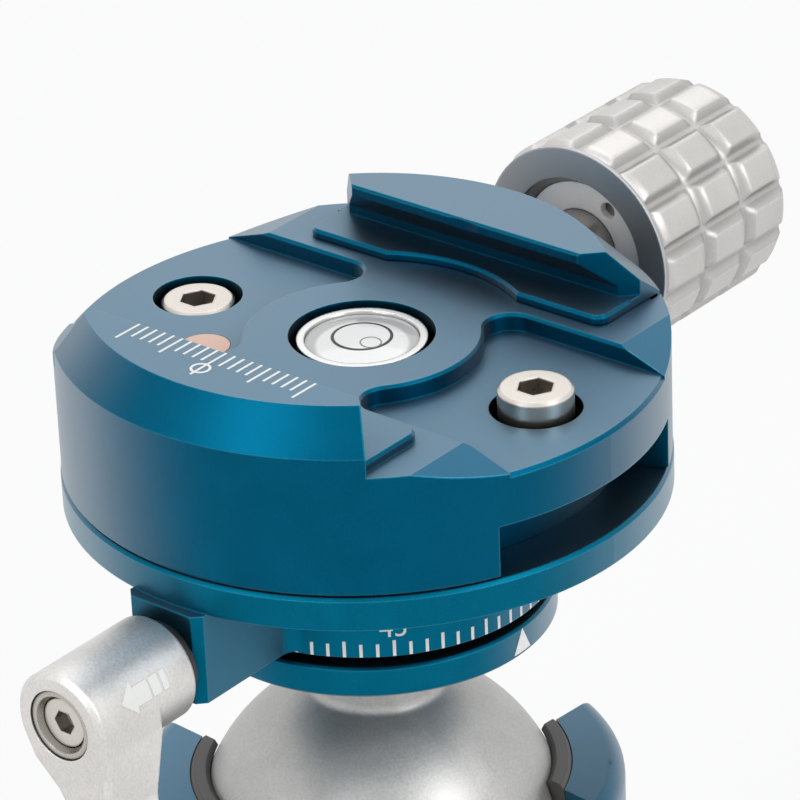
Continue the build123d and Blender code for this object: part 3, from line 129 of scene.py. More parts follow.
# %% [markdown]
# ## Floor, world and lamps
# Satin metal shows its surroundings, so the set is a bright tent: a white world, a pale
# floor and soft square lamps. More light would whiten the set too, but it would wash out the
# head. So the Light Path node parts the two: the camera, mirrors and glass see white behind
# the head, while the light that falls on it stays at a plain level. The floor keeps a little
# of its own shade, or the head's shadow would be lost in the white.


# %% White for eyes and mirrors
def seen_by_eye_or_mirror(tree):
    """A value that is 1 for camera, mirror and glass rays, and 0 for rays of soft light."""
    ray = tree.nodes.new("ShaderNodeLightPath")
    mirror = tree.nodes.new("ShaderNodeMath")
    mirror.operation = "MAXIMUM"
    seen = tree.nodes.new("ShaderNodeMath")
    seen.operation = "MAXIMUM"
    tree.links.new(ray.outputs["Is Glossy Ray"], mirror.inputs[0])
    tree.links.new(ray.outputs["Is Transmission Ray"], mirror.inputs[1])
    tree.links.new(mirror.outputs[0], seen.inputs[0])
    tree.links.new(ray.outputs["Is Camera Ray"], seen.inputs[1])
    return seen.outputs[0]


# %% World
fill_colour = (0.96, 0.98, 1, 1)
fill_strength = 0.4
pure_white = (1, 1, 1, 1)
world = bpy.data.worlds.new("studio")
bpy.context.scene.world = world
world.use_nodes = True
tree = world.node_tree
tree.nodes.clear()
output = tree.nodes.new("ShaderNodeOutputWorld")
fill = tree.nodes.new("ShaderNodeBackground")
fill.inputs["Color"].default_value = fill_colour
fill.inputs["Strength"].default_value = fill_strength
white = tree.nodes.new("ShaderNodeBackground")
white.inputs["Color"].default_value = pure_white
white.inputs["Strength"].default_value = 1
choose = tree.nodes.new("ShaderNodeMixShader")
tree.links.new(seen_by_eye_or_mirror(tree), choose.inputs[0])
tree.links.new(fill.outputs[0], choose.inputs[1])
tree.links.new(white.outputs[0], choose.inputs[2])
tree.links.new(choose.outputs[0], output.inputs[0])
print("world lights with a strength of", fill_strength)

# %% Floor
floor_size = 6.0
floor_white = 0.86
paper_colour = (0.95, 0.95, 0.95, 1)
bpy.ops.mesh.primitive_plane_add(size=floor_size)
floor = bpy.context.object
floor.name = "floor"
paper = bpy.data.materials.new("pale_floor")
paper.use_nodes = True
tree = paper.node_tree
tree.nodes.clear()
output = tree.nodes.new("ShaderNodeOutputMaterial")
matte = tree.nodes.new("ShaderNodeBsdfDiffuse")
matte.inputs["Color"].default_value = paper_colour
glow = tree.nodes.new("ShaderNodeEmission")
glow.inputs["Strength"].default_value = 1
share = tree.nodes.new("ShaderNodeMath")
share.operation = "MULTIPLY"
share.inputs[1].default_value = floor_white
choose = tree.nodes.new("ShaderNodeMixShader")
tree.links.new(seen_by_eye_or_mirror(tree), share.inputs[0])
tree.links.new(share.outputs[0], choose.inputs[0])
tree.links.new(matte.outputs[0], choose.inputs[1])
tree.links.new(glow.outputs[0], choose.inputs[2])
tree.links.new(choose.outputs[0], output.inputs[0])
floor.data.materials.append(paper)
print("floor of", floor_size, "m with", floor_white, "of its own white")

# %% Lamps
lamp_distance = 0.9


def soft_lamp(name, azimuth, elevation, size, power):
    """A square lamp at this place round the head, in degrees, that points at its clamp."""
    lamp = bpy.data.objects.new(name, bpy.data.lights.new(name, "AREA"))
    bpy.context.scene.collection.objects.link(lamp)
    lamp.data.size = size
    lamp.data.energy = power
    away = direction(radians(azimuth), radians(elevation))
    lamp.location = target + away * lamp_distance
    lamp.rotation_euler = away.to_track_quat("Z", "Y").to_euler()
    print(name, "gives", power, "W from", azimuth, "degrees round")


soft_lamp("lamp_left", azimuth=-4, elevation=34, size=0.35, power=2.1)
soft_lamp("lamp_right", azimuth=92, elevation=36, size=0.3, power=2.6)
soft_lamp("lamp_back", azimuth=215, elevation=55, size=0.6, power=1.6)

# %% [markdown]
# ## Finishes
# Anodised aluminium is metal under a thin, dyed, clear skin that a fine blast has made
# matt. No used metal is even: blasting leaves a fine grain, and hands leave broad soft
# smudges. The edges get a tint of their own, partly for the wear of hands and partly as a
# painted highlight, and slots and corners are darkened as painted shade, where little light
# reaches. All this could be painted on a texture for each piece, but nodes that read the shape
# itself fit every piece at once. These four effects are node groups, so that every finish can set
# its own size and strength.


# %% Helpers for the node groups
def shader_group(name, inputs, outputs):
    """An empty shader node group with these float inputs and these outputs."""
    group = bpy.data.node_groups.new(name, "ShaderNodeTree")
    for label, value in inputs:
        socket = group.interface.new_socket(label, in_out="INPUT", socket_type="NodeSocketFloat")
        socket.default_value = value
    for label, kind in outputs:
        group.interface.new_socket(label, in_out="OUTPUT", socket_type=kind)
    return group, group.nodes.new("NodeGroupInput"), group.nodes.new("NodeGroupOutput")


def math_node(group, operation, first, second, third=None):
    """A Math node; each value is a number or another node's output."""
    node = group.nodes.new("ShaderNodeMath")
    node.operation = operation
    for socket, value in zip(node.inputs, (first, second, third)):
        if isinstance(value, (int, float)):
            socket.default_value = value
        elif value is not None:
            group.links.new(value, socket)
    return node.outputs[0]


def smooth_range(tree, value, low, high, at_low, at_high):
    """A value that goes smoothly from one number to another between low and high."""
    node = tree.nodes.new("ShaderNodeMapRange")
    node.interpolation_type = "SMOOTHSTEP"
    limits = {"From Min": low, "From Max": high, "To Min": at_low, "To Max": at_high}
    for label, number in limits.items():
        node.inputs[label].default_value = number
    tree.links.new(value, node.inputs["Value"])
    return node.outputs["Result"]


# %% Shared grain
grain_relief = 0.02 * mm


def blasted_grain_group():
    """Node group: the fine, even grain of blasted metal."""
    group, given, result = shader_group(
        "blasted_grain",
        (("Grain size", 0.15 * mm), ("Depth", 0.2)),
        (("Grain", "NodeSocketFloat"), ("Normal", "NodeSocketVector")),
    )
    group.interface.new_socket("Shape normal", in_out="INPUT", socket_type="NodeSocketVector")
    place = group.nodes.new("ShaderNodeTexCoord")
    grain = group.nodes.new("ShaderNodeTexNoise")
    grain.inputs["Detail"].default_value = 2
    group.links.new(place.outputs["Object"], grain.inputs["Vector"])
    fineness = math_node(group, "DIVIDE", 1.0, given.outputs["Grain size"])
    group.links.new(fineness, grain.inputs["Scale"])
    centred = math_node(group, "SUBTRACT", grain.outputs["Fac"], 0.5)
    group.links.new(centred, result.inputs["Grain"])
    bump = group.nodes.new("ShaderNodeBump")
    bump.inputs["Distance"].default_value = grain_relief
    group.links.new(given.outputs["Depth"], bump.inputs["Strength"])
    group.links.new(grain.outputs["Fac"], bump.inputs["Height"])
    group.links.new(given.outputs["Shape normal"], bump.inputs["Normal"])
    group.links.new(bump.outputs["Normal"], result.inputs["Normal"])
    return group


# %% Shared smudges
def soft_smudges_group():
    """Node group: broad, faint patches that hands leave on satin metal."""
    group, given, result = shader_group(
        "soft_smudges", (("Patch size", 9 * mm),), (("Smudge", "NodeSocketFloat"),)
    )
    place = group.nodes.new("ShaderNodeTexCoord")
    patches = group.nodes.new("ShaderNodeTexNoise")
    patches.inputs["Detail"].default_value = 4
    patches.inputs["Roughness"].default_value = 0.6
    patches.inputs["Distortion"].default_value = 0.8
    group.links.new(place.outputs["Object"], patches.inputs["Vector"])
    spacing = math_node(group, "DIVIDE", 1.0, given.outputs["Patch size"])
    group.links.new(spacing, patches.inputs["Scale"])
    centred = math_node(group, "SUBTRACT", patches.outputs["Fac"], 0.5)
    group.links.new(centred, result.inputs["Smudge"])
    return group


# %% Shared edge wear and painted edge highlight
def rubbed_edges_group():
    """Node group: a mask that is 1 on sharp edges, and a normal that rounds them."""
    group, given, result = shader_group(
        "edge_wear_and_highlight",
        (("Width", 0.25 * mm), ("Gain", 3.0)),
        (("Edge", "NodeSocketFloat"), ("Normal", "NodeSocketVector")),
    )
    rounded = group.nodes.new("ShaderNodeBevel")
    group.links.new(given.outputs["Width"], rounded.inputs["Radius"])
    true_shape = group.nodes.new("ShaderNodeNewGeometry")
    agree = group.nodes.new("ShaderNodeVectorMath")
    agree.operation = "DOT_PRODUCT"
    group.links.new(rounded.outputs["Normal"], agree.inputs[0])
    group.links.new(true_shape.outputs["Normal"], agree.inputs[1])
    bend = math_node(group, "SUBTRACT", 1.0, agree.outputs["Value"])
    strong = math_node(group, "MULTIPLY", bend, given.outputs["Gain"])
    capped = math_node(group, "MINIMUM", strong, 1.0)
    group.links.new(capped, result.inputs["Edge"])
    group.links.new(rounded.outputs["Normal"], result.inputs["Normal"])
    return group


# %% Shared painted crevice shade
crevice_samples = 6
corner_start, corner_end = 0.6, 0.9


def dark_crevices_group():
    """Node group: masks that tell open faces from slots and inner corners.

    Open falls from 1 towards 0 deep in a slot, and the finishes darken their colour by it as
    painted shade. Outer is 0 already in a shallow corner, and keeps the edge tint out of it.
    """
    group, given, result = shader_group(
        "painted_crevice_shade",
        (("Reach", 7 * mm), ("Depth", 1.0)),
        (("Open", "NodeSocketFloat"), ("Outer", "NodeSocketFloat")),
    )
    hollow = group.nodes.new("ShaderNodeAmbientOcclusion")
    hollow.samples = crevice_samples
    group.links.new(given.outputs["Reach"], hollow.inputs["Distance"])
    openness = math_node(group, "POWER", hollow.outputs["AO"], given.outputs["Depth"])
    group.links.new(openness, result.inputs["Open"])
    outer = smooth_range(group, hollow.outputs["AO"], corner_start, corner_end, 0.0, 1.0)
    group.links.new(outer, result.inputs["Outer"])
    return group


blasted_grain = blasted_grain_group()
soft_smudges = soft_smudges_group()
edge_wear_and_highlight = rubbed_edges_group()
painted_crevice_shade = dark_crevices_group()
print("shared effects:", [group.name for group in bpy.data.node_groups])

# %% [markdown]
# ## One finish from the four effects
# Seen at a slant, the skin of anodised metal turns pale and hazy. A paler colour at the rim
# would show that too, but it would be painted on. A rough coat on a dark metal gives the
# haze as gloss, so it moves with the light as the real one does. Bare metal, nylon and paint
# use the same function without the coat.

# %% Haze of an anodised skin
haze_start, haze_full = 0.25, 0.68
haze_ior = 2.0
haze_roughness = 0.45


# %% Helper for a shared effect
def place_effect(tree, group, **values):
    """Places a shared effect in a material, with its own values."""
    node = tree.nodes.new("ShaderNodeGroup")
    node.node_tree = group
    for label, value in values.items():
        node.inputs[label.replace("_", " ").capitalize()].default_value = value
    return node


# %% One finish from the shared effects
def finish(name, colour, roughness, edge_wear_and_highlight_colour=None, metallic=1.0, grain_size=0.15,
           depth=0.2, spread=0.12, tone=0.12, edge_gain=2.0, patch=9.0, coat=0.0,
           crevice_shade=0.7, edge_width=0.25):
    """A finish with its colour, gloss, grain, smudges, painted crevice shade and edge tint.

    grain_size, edge_width and patch are in millimetres. depth is the relief of the grain,
    spread and tone say how uneven gloss and colour are, crevice_shade says how dark the painted
    shade in slots gets, and coat how strong the haze is. The edge tint is partly wear and partly
    a painted highlight.
    """
    material = bpy.data.materials.new(name)
    material.use_nodes = True
    tree = material.node_tree
    nodes, links = tree.nodes, tree.links
    shader = nodes["Principled BSDF"]
    shader.inputs["Metallic"].default_value = metallic
    grain = place_effect(tree, blasted_grain, grain_size=grain_size * mm, depth=depth)
    smudge = place_effect(tree, soft_smudges, patch_size=patch * mm)
    edge = place_effect(tree, edge_wear_and_highlight, width=edge_width * mm, gain=edge_gain)
    open_air = place_effect(tree, painted_crevice_shade, depth=crevice_shade)
    uneven = math_node(tree, "ADD", grain.outputs["Grain"], smudge.outputs["Smudge"])
    patchy = math_node(tree, "MULTIPLY_ADD", uneven, tone, 1.0)
    # Slots and inner corners are darkened here as painted shade.
    shade = math_node(tree, "MULTIPLY", patchy, open_air.outputs["Open"])
    tint = nodes.new("ShaderNodeMix")
    tint.data_type = "RGBA"
    tint.inputs["A"].default_value = (*colour, 1)
    tint.inputs["B"].default_value = (*(edge_wear_and_highlight_colour or colour), 1)
    # The edge tint is partly rubbed wear and partly a painted highlight along the edges.
    edge_wear_and_highlight_share = math_node(tree, "MULTIPLY", edge.outputs["Edge"], open_air.outputs["Outer"])
    links.new(edge_wear_and_highlight_share, tint.inputs["Factor"])
    shaded = nodes.new("ShaderNodeVectorMath")
    shaded.operation = "SCALE"
    links.new(tint.outputs["Result"], shaded.inputs[0])
    links.new(shade, shaded.inputs["Scale"])
    links.new(shaded.outputs["Vector"], shader.inputs["Base Color"])
    gloss = math_node(tree, "MULTIPLY_ADD", uneven, spread, roughness)
    links.new(gloss, shader.inputs["Roughness"])
    links.new(edge.outputs["Normal"], grain.inputs["Shape normal"])
    links.new(grain.outputs["Normal"], shader.inputs["Normal"])
    if coat:
        slant = nodes.new("ShaderNodeLayerWeight")
        slant.inputs["Blend"].default_value = 0.5
        rise = smooth_range(tree, slant.outputs["Facing"], haze_start, haze_full, 0.0, coat)
        in_air = math_node(tree, "MULTIPLY", rise, open_air.outputs["Open"])
        links.new(in_air, shader.inputs["Coat Weight"])
        shader.inputs["Coat IOR"].default_value = haze_ior
        shader.inputs["Coat Roughness"].default_value = haze_roughness
    return material


# %% Finishes of the CAD model's material slots
finishes = {
    "teal_anodised": finish("teal_anodised", (0.001, 0.092, 0.172), 0.42, (0.04, 0.32, 0.46),
                            coat=1.0, tone=0.35, crevice_shade=0.5, edge_gain=3),
    "dark_anodised": finish("dark_anodised", (0.5, 0.5, 0.51), 0.5, (0.65, 0.65, 0.66), crevice_shade=0.4),
    "satin_silver": finish("satin_silver", (0.58, 0.565, 0.55), 0.4, (0.8, 0.79, 0.78), depth=0.4,
                           grain_size=0.2, tone=0.2, crevice_shade=0.8, edge_width=0.7),
    "ball_silver": finish("ball_silver", (0.52, 0.515, 0.505), 0.46, metallic=0.7, depth=0.5, patch=7,
                          grain_size=0.25, tone=0.4, crevice_shade=0),
    "machined_steel": finish("machined_steel", (0.5, 0.5, 0.51), 0.3, (0.7, 0.7, 0.7)),
    "screw_steel": finish("screw_steel", (0.66, 0.62, 0.57), 0.3, (0.8, 0.78, 0.75), depth=0.3,
                          crevice_shade=0.3),
    "spring_steel": finish("spring_steel", (0.4, 0.4, 0.41), 0.3),
    "black_nylon": finish("black_nylon", (0.03, 0.03, 0.032), 0.5, (0.08, 0.08, 0.08), metallic=0),
    "rubber": finish("rubber", (0.025, 0.025, 0.025), 0.8, metallic=0, depth=0.5, grain_size=0.3),
    "brass": finish("brass", (0.7, 0.5, 0.25), 0.3),
    "copper_pin": finish("copper_pin", (0.56, 0.4, 0.33), 0.42, depth=0.3),
    "polished_rim": finish("polished_rim", (0.8, 0.8, 0.79), 0.25, depth=0.05, crevice_shade=0),
    "level_fluid": finish("level_fluid", (0.8, 0.8, 0.78), 0.3, metallic=0),
    "clear_window": finish("clear_window", (0.95, 0.95, 0.94), 0.1, metallic=0, depth=0.02, crevice_shade=0),
}
for part in frame["record"]["subparts"]:
    node = frame["nodes"][part["node"]]
    node.data.materials.clear()
    node.data.materials.append(finishes[part["material_slot"]])
print("finished", len(frame["nodes"]), "CAD nodes")

# %% [markdown]
# ## Pieces with a finish of their own
# Some pieces share a slot but don't look alike on a real head. The cast lever is brighter
# than the turned knobs, and its steel sleeve is warmer. The drum and the ring under it get a
# lighter copy of the clamp's teal, painted light for their brightly lit fronts. The CAD model
# could have had a slot for each, but a finish by name is enough, because only the look differs.

# %% Own finishes
own_finishes = {
    "lever_washer": finishes["black_nylon"],
    "lever": finish("lever_silver", (0.71, 0.69, 0.67), 0.42, (0.9, 0.89, 0.88), depth=0.5,
                    grain_size=0.25, tone=0.35, crevice_shade=1.2),
    "lever_sleeve": finish("warm_steel", (0.52, 0.48, 0.43), 0.28, (0.8, 0.78, 0.75), crevice_shade=2.0),
    # A lighter copy of the clamp's teal, painted light for the drum's brightly lit front.
    "pan_base": finish("teal_lit_copy", (0.001, 0.125, 0.215), 0.4, (0.04, 0.36, 0.5), coat=1.0,
                       tone=0.4, crevice_shade=0.5, edge_gain=3),
    # The liner's edge tint is dark, a painted shadow of the gaps beside its edges.
    "upper_liner": finish("grey_nylon", (0.13, 0.12, 0.115), 0.5, (0.02, 0.02, 0.02), metallic=0,
                          edge_gain=6, crevice_shade=1.5),
    "knob_inner_disc": finish("pale_disc", (0.9, 0.87, 0.85), 0.45, metallic=0.2, crevice_shade=0),
}
own_finishes["index_ring"] = own_finishes["pan_base"]
for node_name, material in own_finishes.items():
    frame["nodes"][node_name].data.materials[0] = material
print(len(own_finishes), "nodes have a finish of their own")

# %% [markdown]
# ## The level's window
# The window is clear plastic over pale fluid. Real glass over fluid would be noisy to render
# at this size, so the window is a pale gloss instead, with painted light: a white spot where
# light comes through the fluid, and a painted grey shade round that.


# %% Painted light and shade in the window
def lit_from_behind(material, middle, radius, blur, dark):
    """Makes a finish white inside a round spot and darker round it."""
    tree = material.node_tree
    shader = tree.nodes["Principled BSDF"]
    place = tree.nodes.new("ShaderNodeTexCoord")
    away = tree.nodes.new("ShaderNodeVectorMath")
    away.operation = "DISTANCE"
    away.inputs[1].default_value = middle
    tree.links.new(place.outputs["Object"], away.inputs[0])
    share = smooth_range(tree, away.outputs["Value"], radius - blur, radius + blur, 0.0, 1.0)
    spot = tree.nodes.new("ShaderNodeMix")
    spot.data_type = "RGBA"
    spot.inputs["A"].default_value = (1, 1, 1, 1)
    spot.inputs["B"].default_value = (*dark, 1)
    tree.links.new(share, spot.inputs["Factor"])
    old = shader.inputs["Base Color"].links[0].from_socket
    both = tree.nodes.new("ShaderNodeVectorMath")
    both.operation = "MULTIPLY"
    tree.links.new(old, both.inputs[0])
    tree.links.new(spot.outputs["Result"], both.inputs[1])
    tree.links.new(both.outputs["Vector"], shader.inputs["Base Color"])


# The white spot is painted light and the grey round it painted shade; the spot sits a little off the
# window's middle.
window_low, window_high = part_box("level_window")
level_centre = (window_low + window_high) / 2
spot_middle = level_centre + Vector((0.7, -0.85, 0)) * mm
spot_radius = 4.2 * mm
spot_blur = 0.25 * mm
painted_rim_shade = (0.62, 0.62, 0.62)
lit_from_behind(finishes["clear_window"], spot_middle, spot_radius, spot_blur, painted_rim_shade)
print("white spot of", round(spot_radius / mm, 2), "mm in the level's window")

# %% [markdown]
# ## Engraved marks
# The scales are engraved and filled with white paint. They could be cut from the metal or
# drawn in its material. Each is a plate of paint here, a few hundredths of a millimetre
# thick and half sunk in its surface, so that it is a real shape with a clean edge. The ticks
# repeat, so Geometry Nodes make a straight row of them. Outlines and numbers are flat
# curves. All of them are drawn flat first and then laid on a plane or bent round a cylinder.

# %% Paint of the marks
paint_thickness = 0.05 * mm
white_paint = finish("white_paint", (0.97, 0.97, 0.94), 0.55, metallic=0, depth=0.1, grain_size=0.08,
                     tone=0.08, edge_gain=0.5, edge_width=0.02, crevice_shade=0)
ink = finish("dark_ink", (0.035, 0.037, 0.04), 0.4, metallic=0, depth=0.1)


# %% From a made object to a plain mesh
def settled(maker, name):
    """A plain mesh object with the evaluated shape of maker, which is removed."""
    seen = maker.evaluated_get(bpy.context.evaluated_depsgraph_get())
    piece = bpy.data.objects.new(name, bpy.data.meshes.new_from_object(seen))
    bpy.context.scene.collection.objects.link(piece)
    bpy.data.objects.remove(maker)
    return piece


def painted(piece, body, paint=white_paint):
    """Gives a mark its paint and the body that it moves with."""
    piece.data.materials.clear()
    piece.data.materials.append(paint)
    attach(piece, body)
    print(piece.name, "rides on", body, "with", len(piece.data.polygons), "faces")
    return piece


# %% Geometry Nodes: a row of ticks
def tick_row_tree():
    """A tree that makes a centred row of ticks along x, with a long one every few ticks."""
    tree = bpy.data.node_groups.new("row_of_ticks", "GeometryNodeTree")
    for label, kind in (
        ("Count", "NodeSocketInt"), ("Pitch", "NodeSocketFloat"), ("Width", "NodeSocketFloat"),
        ("Short", "NodeSocketFloat"), ("Long", "NodeSocketFloat"), ("Long every", "NodeSocketInt"),
        ("Thickness", "NodeSocketFloat"), ("Paint", "NodeSocketMaterial"),
    ):
        tree.interface.new_socket(label, in_out="INPUT", socket_type=kind)
    tree.interface.new_socket("Ticks", in_out="OUTPUT", socket_type="NodeSocketGeometry")
    nodes, links = tree.nodes, tree.links
    given = nodes.new("NodeGroupInput")
    result = nodes.new("NodeGroupOutput")
    gaps = math_node(tree, "SUBTRACT", given.outputs["Count"], 1)
    span = math_node(tree, "MULTIPLY", gaps, given.outputs["Pitch"])
    start = nodes.new("ShaderNodeCombineXYZ")
    links.new(math_node(tree, "MULTIPLY", span, -0.5), start.inputs["X"])
    step = nodes.new("ShaderNodeCombineXYZ")
    links.new(given.outputs["Pitch"], step.inputs["X"])
    row = nodes.new("GeometryNodeMeshLine")
    links.new(given.outputs["Count"], row.inputs["Count"])
    links.new(start.outputs[0], row.inputs["Start Location"])
    links.new(step.outputs[0], row.inputs["Offset"])
    block = nodes.new("GeometryNodeMeshCube")
    block.inputs["Size"].default_value = (1, 1, 1)
    stood = nodes.new("GeometryNodeTransform")
    stood.inputs["Translation"].default_value = (0, 0.5, 0)
    links.new(block.outputs["Mesh"], stood.inputs["Geometry"])
    index = nodes.new("GeometryNodeInputIndex")
    count_on = math_node(tree, "MODULO", index.outputs[0], given.outputs["Long every"])
    is_long = math_node(tree, "LESS_THAN", count_on, 0.5)
    extra = math_node(tree, "SUBTRACT", given.outputs["Long"], given.outputs["Short"])
    length = math_node(tree, "MULTIPLY_ADD", is_long, extra, given.outputs["Short"])
    size = nodes.new("ShaderNodeCombineXYZ")
    links.new(given.outputs["Width"], size.inputs["X"])
    links.new(length, size.inputs["Y"])
    links.new(given.outputs["Thickness"], size.inputs["Z"])
    place = nodes.new("GeometryNodeInstanceOnPoints")
    links.new(row.outputs["Mesh"], place.inputs["Points"])
    links.new(stood.outputs["Geometry"], place.inputs["Instance"])
    links.new(size.outputs[0], place.inputs["Scale"])
    real = nodes.new("GeometryNodeRealizeInstances")
    coat = nodes.new("GeometryNodeSetMaterial")
    links.new(place.outputs["Instances"], real.inputs["Geometry"])
    links.new(real.outputs["Geometry"], coat.inputs["Geometry"])
    links.new(given.outputs["Paint"], coat.inputs["Material"])
    links.new(coat.outputs["Geometry"], result.inputs["Ticks"])
    return tree


row_of_ticks = tick_row_tree()
print("tick tree has", len(row_of_ticks.nodes), "nodes")


# %% A row of ticks as a plain mesh
def tick_row(name, **sizes):
    """A straight row of ticks as a plain mesh, drawn flat from y = 0 upwards."""
    maker = bpy.data.objects.new(name + "_maker", bpy.data.meshes.new(name + "_maker"))
    bpy.context.scene.collection.objects.link(maker)
    modifier = maker.modifiers.new("ticks", "NODES")
    modifier.node_group = row_of_ticks
    values = {"Thickness": paint_thickness, "Paint": white_paint}
    values.update({label.replace("_", " ").capitalize(): value for label, value in sizes.items()})
    for item in row_of_ticks.interface.items_tree:
        if item.in_out == "INPUT":
            modifier[item.identifier] = values[item.name]
    return settled(maker, name)


# %% Flat outlines and numbers
def flat_mark(name, *outlines):
    """A thin plate with these outlines; an outline inside another one is a hole."""
    curve = bpy.data.curves.new(name, "CURVE")
    curve.dimensions = "2D"
    curve.fill_mode = "BOTH"
    curve.extrude = paint_thickness / 2
    for outline in outlines:
        line = curve.splines.new("POLY")
        line.points.add(len(outline) - 1)
        for point, (x, y) in zip(line.points, outline):
            point.co = (x, y, 0, 1)
        line.use_cyclic_u = True
    maker = bpy.data.objects.new(name + "_maker", curve)
    bpy.context.scene.collection.objects.link(maker)
    return settled(maker, name)


def circle_outline(x, y, radius, count=64):
    """The points of a circle."""
    turns = [2 * pi * step / count for step in range(count)]
    return [(x + radius * cos(turn), y + radius * sin(turn)) for turn in turns]


def bar_outline(half_width, low, high):
    """The corners of a bar that is centred on x = 0 and goes from y = low to high."""
    return [(-half_width, low), (half_width, low), (half_width, high), (-half_width, high)]


def number_mark(name, text, height):
    """A number as a thin plate, centred on x = 0 and standing on y = 0.

    cap_share is the height of a digit in Blender's own font, as a share of the text size.
    """
    cap_share = 0.73
    letters = bpy.data.curves.new(name, "FONT")
    letters.body = text
    letters.align_x = "CENTER"
    letters.size = height / cap_share
    letters.resolution_u = 4
    letters.extrude = paint_thickness / 2
    maker = bpy.data.objects.new(name + "_maker", letters)
    bpy.context.scene.collection.objects.link(maker)
    return settled(maker, name)


# %% Bending flat marks round a cylinder
def wrap_round(piece, centre, axis, zero, radius, turn, rise=0.0, cuts=0):
    """Bends a flat mark round a cylinder: x runs round it, y along its axis, z outwards.

    x = 0 lands at the angle turn from the direction zero. Wide faces need cuts to bend.
    """
    if cuts:
        shape = bmesh.new()
        shape.from_mesh(piece.data)
        bmesh.ops.triangulate(shape, faces=shape.faces[:])
        bmesh.ops.subdivide_edges(shape, edges=shape.edges[:], cuts=cuts, use_grid_fill=True)
        shape.to_mesh(piece.data)
        shape.free()
    side = axis.cross(zero)
    for vertex in piece.data.vertices:
        along, up, out = vertex.co
        angle = turn + along / radius
        outwards = zero * cos(angle) + side * sin(angle)
        vertex.co = centre + axis * (up + rise) + outwards * (radius + out)
    return piece


east = Vector((1, 0, 0))

# %% [markdown]
# ## The ruler on the fixed jaw
# A plate slides through the clamp along x, and the ruler shows how far its middle is from
# the clamp's middle. It has 1 mm ticks that start at the jaw's lip, longer ones at 5 and
# 10 mm, and a circle across the long tick at zero. The ticks come from the tree, and the
# stroke and the circle are drawn, because each occurs once.

# %% Ruler
lip_edge = -18.12 * mm
ruler_pitch = 1 * mm
ruler_tick_width = 0.25 * mm
ruler = tick_row("ruler_ticks", count=21, pitch=ruler_pitch, width=ruler_tick_width,
                 short=2.24 * mm, long=3.19 * mm, long_every=5)
ruler.data.transform(Matrix.Translation((0, lip_edge, jaw_top)) @ Matrix.Rotation(pi, 4, "Z"))
painted(ruler, "clamp")

zero_length = 4.82 * mm
zero_middle = 3.45 * mm
zero_outer, zero_inner = 0.95 * mm, 0.7 * mm
zero_marks = {
    "ruler_zero_stroke": [bar_outline(ruler_tick_width / 2, 0, -zero_length)],
    "ruler_zero_ring": [
        circle_outline(0, -zero_middle, radius) for radius in (zero_outer, zero_inner)
    ],
}
# each plate lies a little above the last, so that no two faces coincide
paint_layer = 0.01 * mm
for layer, (name, outlines) in enumerate(zero_marks.items(), start=1):
    piece = flat_mark(name, *outlines)
    height = jaw_top + paint_layer * layer
    piece.data.transform(Matrix.Translation((0, lip_edge, height)))
    painted(piece, "clamp")

# %% [markdown]
# ## The pan scale
# The drum under the clamp carries a degree scale: a tick every 5 degrees, a longer one
# every 15, and a number every 45. The ring below it carries the pointer. Instances could be
# turned straight round the drum, but ticks and numbers that are bent from a flat drawing
# follow its curve.

# %% Pan scale
scale_radius = 17.0 * mm
scale_turn = radians(0.8)
degree_step = 5
scale_gap = 0.03 * mm
tick_count = 360 // degree_step
tick_angle = radians(degree_step)
scale_ticks = tick_row("scale_ticks", count=tick_count, pitch=tick_angle * scale_radius,
                       width=0.3 * mm, short=1.3 * mm, long=1.6 * mm, long_every=3)
# the row is centred, so its first tick lies half its span before its middle
first_tick = -tick_angle * (tick_count - 1) / 2
drum_foot = Vector((0, 0, drum_bottom))
wrap_round(scale_ticks, drum_foot, upright, east, scale_radius, scale_turn - first_tick,
           rise=scale_gap)
painted(scale_ticks, "clamp")

number_height = 1.9 * mm
number_rise = 2.0 * mm
for degrees_marked in range(0, 360, 45):
    number = number_mark(f"scale_number_{degrees_marked}", str(degrees_marked), number_height)
    wrap_round(number, drum_foot, upright, east, scale_radius, scale_turn - radians(degrees_marked),
               rise=number_rise, cuts=1)
    painted(number, "clamp")

# %% Pointer on the ring
ring_radius = ring_high.x
pointer_half, pointer_height = 1.2 * mm, 2.4 * mm
pointer_turn, pointer_rise = radians(1.5), 0.45 * mm
ring_foot = Vector((0, 0, ring_low.z))
pointer = flat_mark("pan_pointer", [(-pointer_half, 0), (pointer_half, 0), (0, pointer_height)])
wrap_round(pointer, ring_foot, upright, east, ring_radius, pointer_turn,
           rise=pointer_rise, cuts=5)
painted(pointer, "ball")

# %% [markdown]
# ## The arrow on the lever's hub
# The lever ratchets: pulled out along its axis, it turns free to a better angle. A white
# arrow with two bars behind it shows the way to pull. It is three flat outlines, bent round
# the hub by the same function as the scale, only about a level axis.

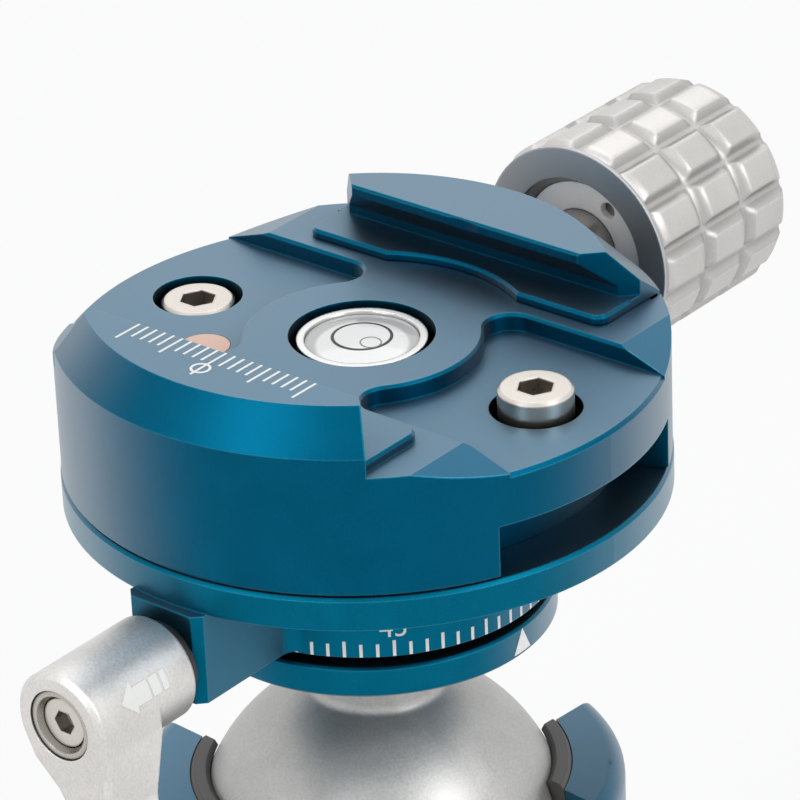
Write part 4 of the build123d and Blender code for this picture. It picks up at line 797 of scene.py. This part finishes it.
# %% Lever arrow
hub_radius = 4.9 * mm
lever_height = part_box("lever_screw")[0].lerp(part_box("lever_screw")[1], 0.5).z
arrow_turn = radians(24)
head_half, neck_half = radians(19) * hub_radius, radians(10.5) * hub_radius
tip, head_base, neck_end = 39.0 * mm, 37.2 * mm, 35.45 * mm
pull = Vector((0, -1, 0))
hub_centre = Vector((0, 0, lever_height))
arrow_shapes = {
    "pull_arrow": [
        (0, tip), (-head_half, head_base), (-neck_half, head_base), (-neck_half, neck_end),
        (neck_half, neck_end), (neck_half, head_base), (head_half, head_base),
    ],
    "pull_bar_wide": bar_outline(neck_half, 34.15 * mm, 35.2 * mm),
    "pull_bar_narrow": bar_outline(neck_half, 33.2 * mm, 33.85 * mm),
}
for name, outline in arrow_shapes.items():
    piece = flat_mark(name, outline)
    wrap_round(piece, hub_centre, pull, east, hub_radius, arrow_turn, cuts=5)
    painted(piece, "lever")

# %% [markdown]
# ## The bubble level
# The window is a low dome. A thin dark ring is printed on it, and the bubble rests a little
# off centre, drawn as a grey ring of painted shade for its edge. They could be modelled on the
# curve, but a flat outline is simpler to draw. Each is laid on the dome by casting a ray down
# on the window from every point of the flat piece.


# %% Level marks
def lay_on(piece, node_name):
    """Drops each point of a flat mark straight down on a CAD node's top."""
    node = frame["nodes"][node_name]
    for vertex in piece.data.vertices:
        start = Vector((vertex.co.x, vertex.co.y, cad_high.z + mm))
        hit, place, _, _ = node.ray_cast(start, Vector((0, 0, -1)))
        if hit:
            vertex.co.z += place.z
    return piece


ring_outer, ring_inner = 2.8 * mm, 2.52 * mm
target_ring = flat_mark(
    "level_ring",
    circle_outline(level_centre.x, level_centre.y, ring_outer, 96),
    circle_outline(level_centre.x, level_centre.y, ring_inner, 96),
)
painted(lay_on(target_ring, "level_window"), "clamp", ink)

bubble_radius = 1.0 * mm
bubble_wall = 0.12 * mm
bubble_x, bubble_y = level_centre.x + 1.5 * mm, level_centre.y - 0.6 * mm
# The bubble's edge is a grey ring of painted shade.
painted_bubble_edge_shade = finish("painted_bubble_edge_shade", (0.35, 0.36, 0.37), 0.2, metallic=0, depth=0.02)
bubble = flat_mark(
    "level_bubble",
    circle_outline(bubble_x, bubble_y, bubble_radius),
    circle_outline(bubble_x, bubble_y, bubble_radius - bubble_wall),
)
painted(lay_on(bubble, "level_window"), "clamp", painted_bubble_edge_shade)

# %% [markdown]
# ## Last settings
# The Standard view shows colours as they are written, while a filmic one would grey the
# white set.

# %% Studio colours
bpy.context.scene.view_settings.view_transform = "Standard"
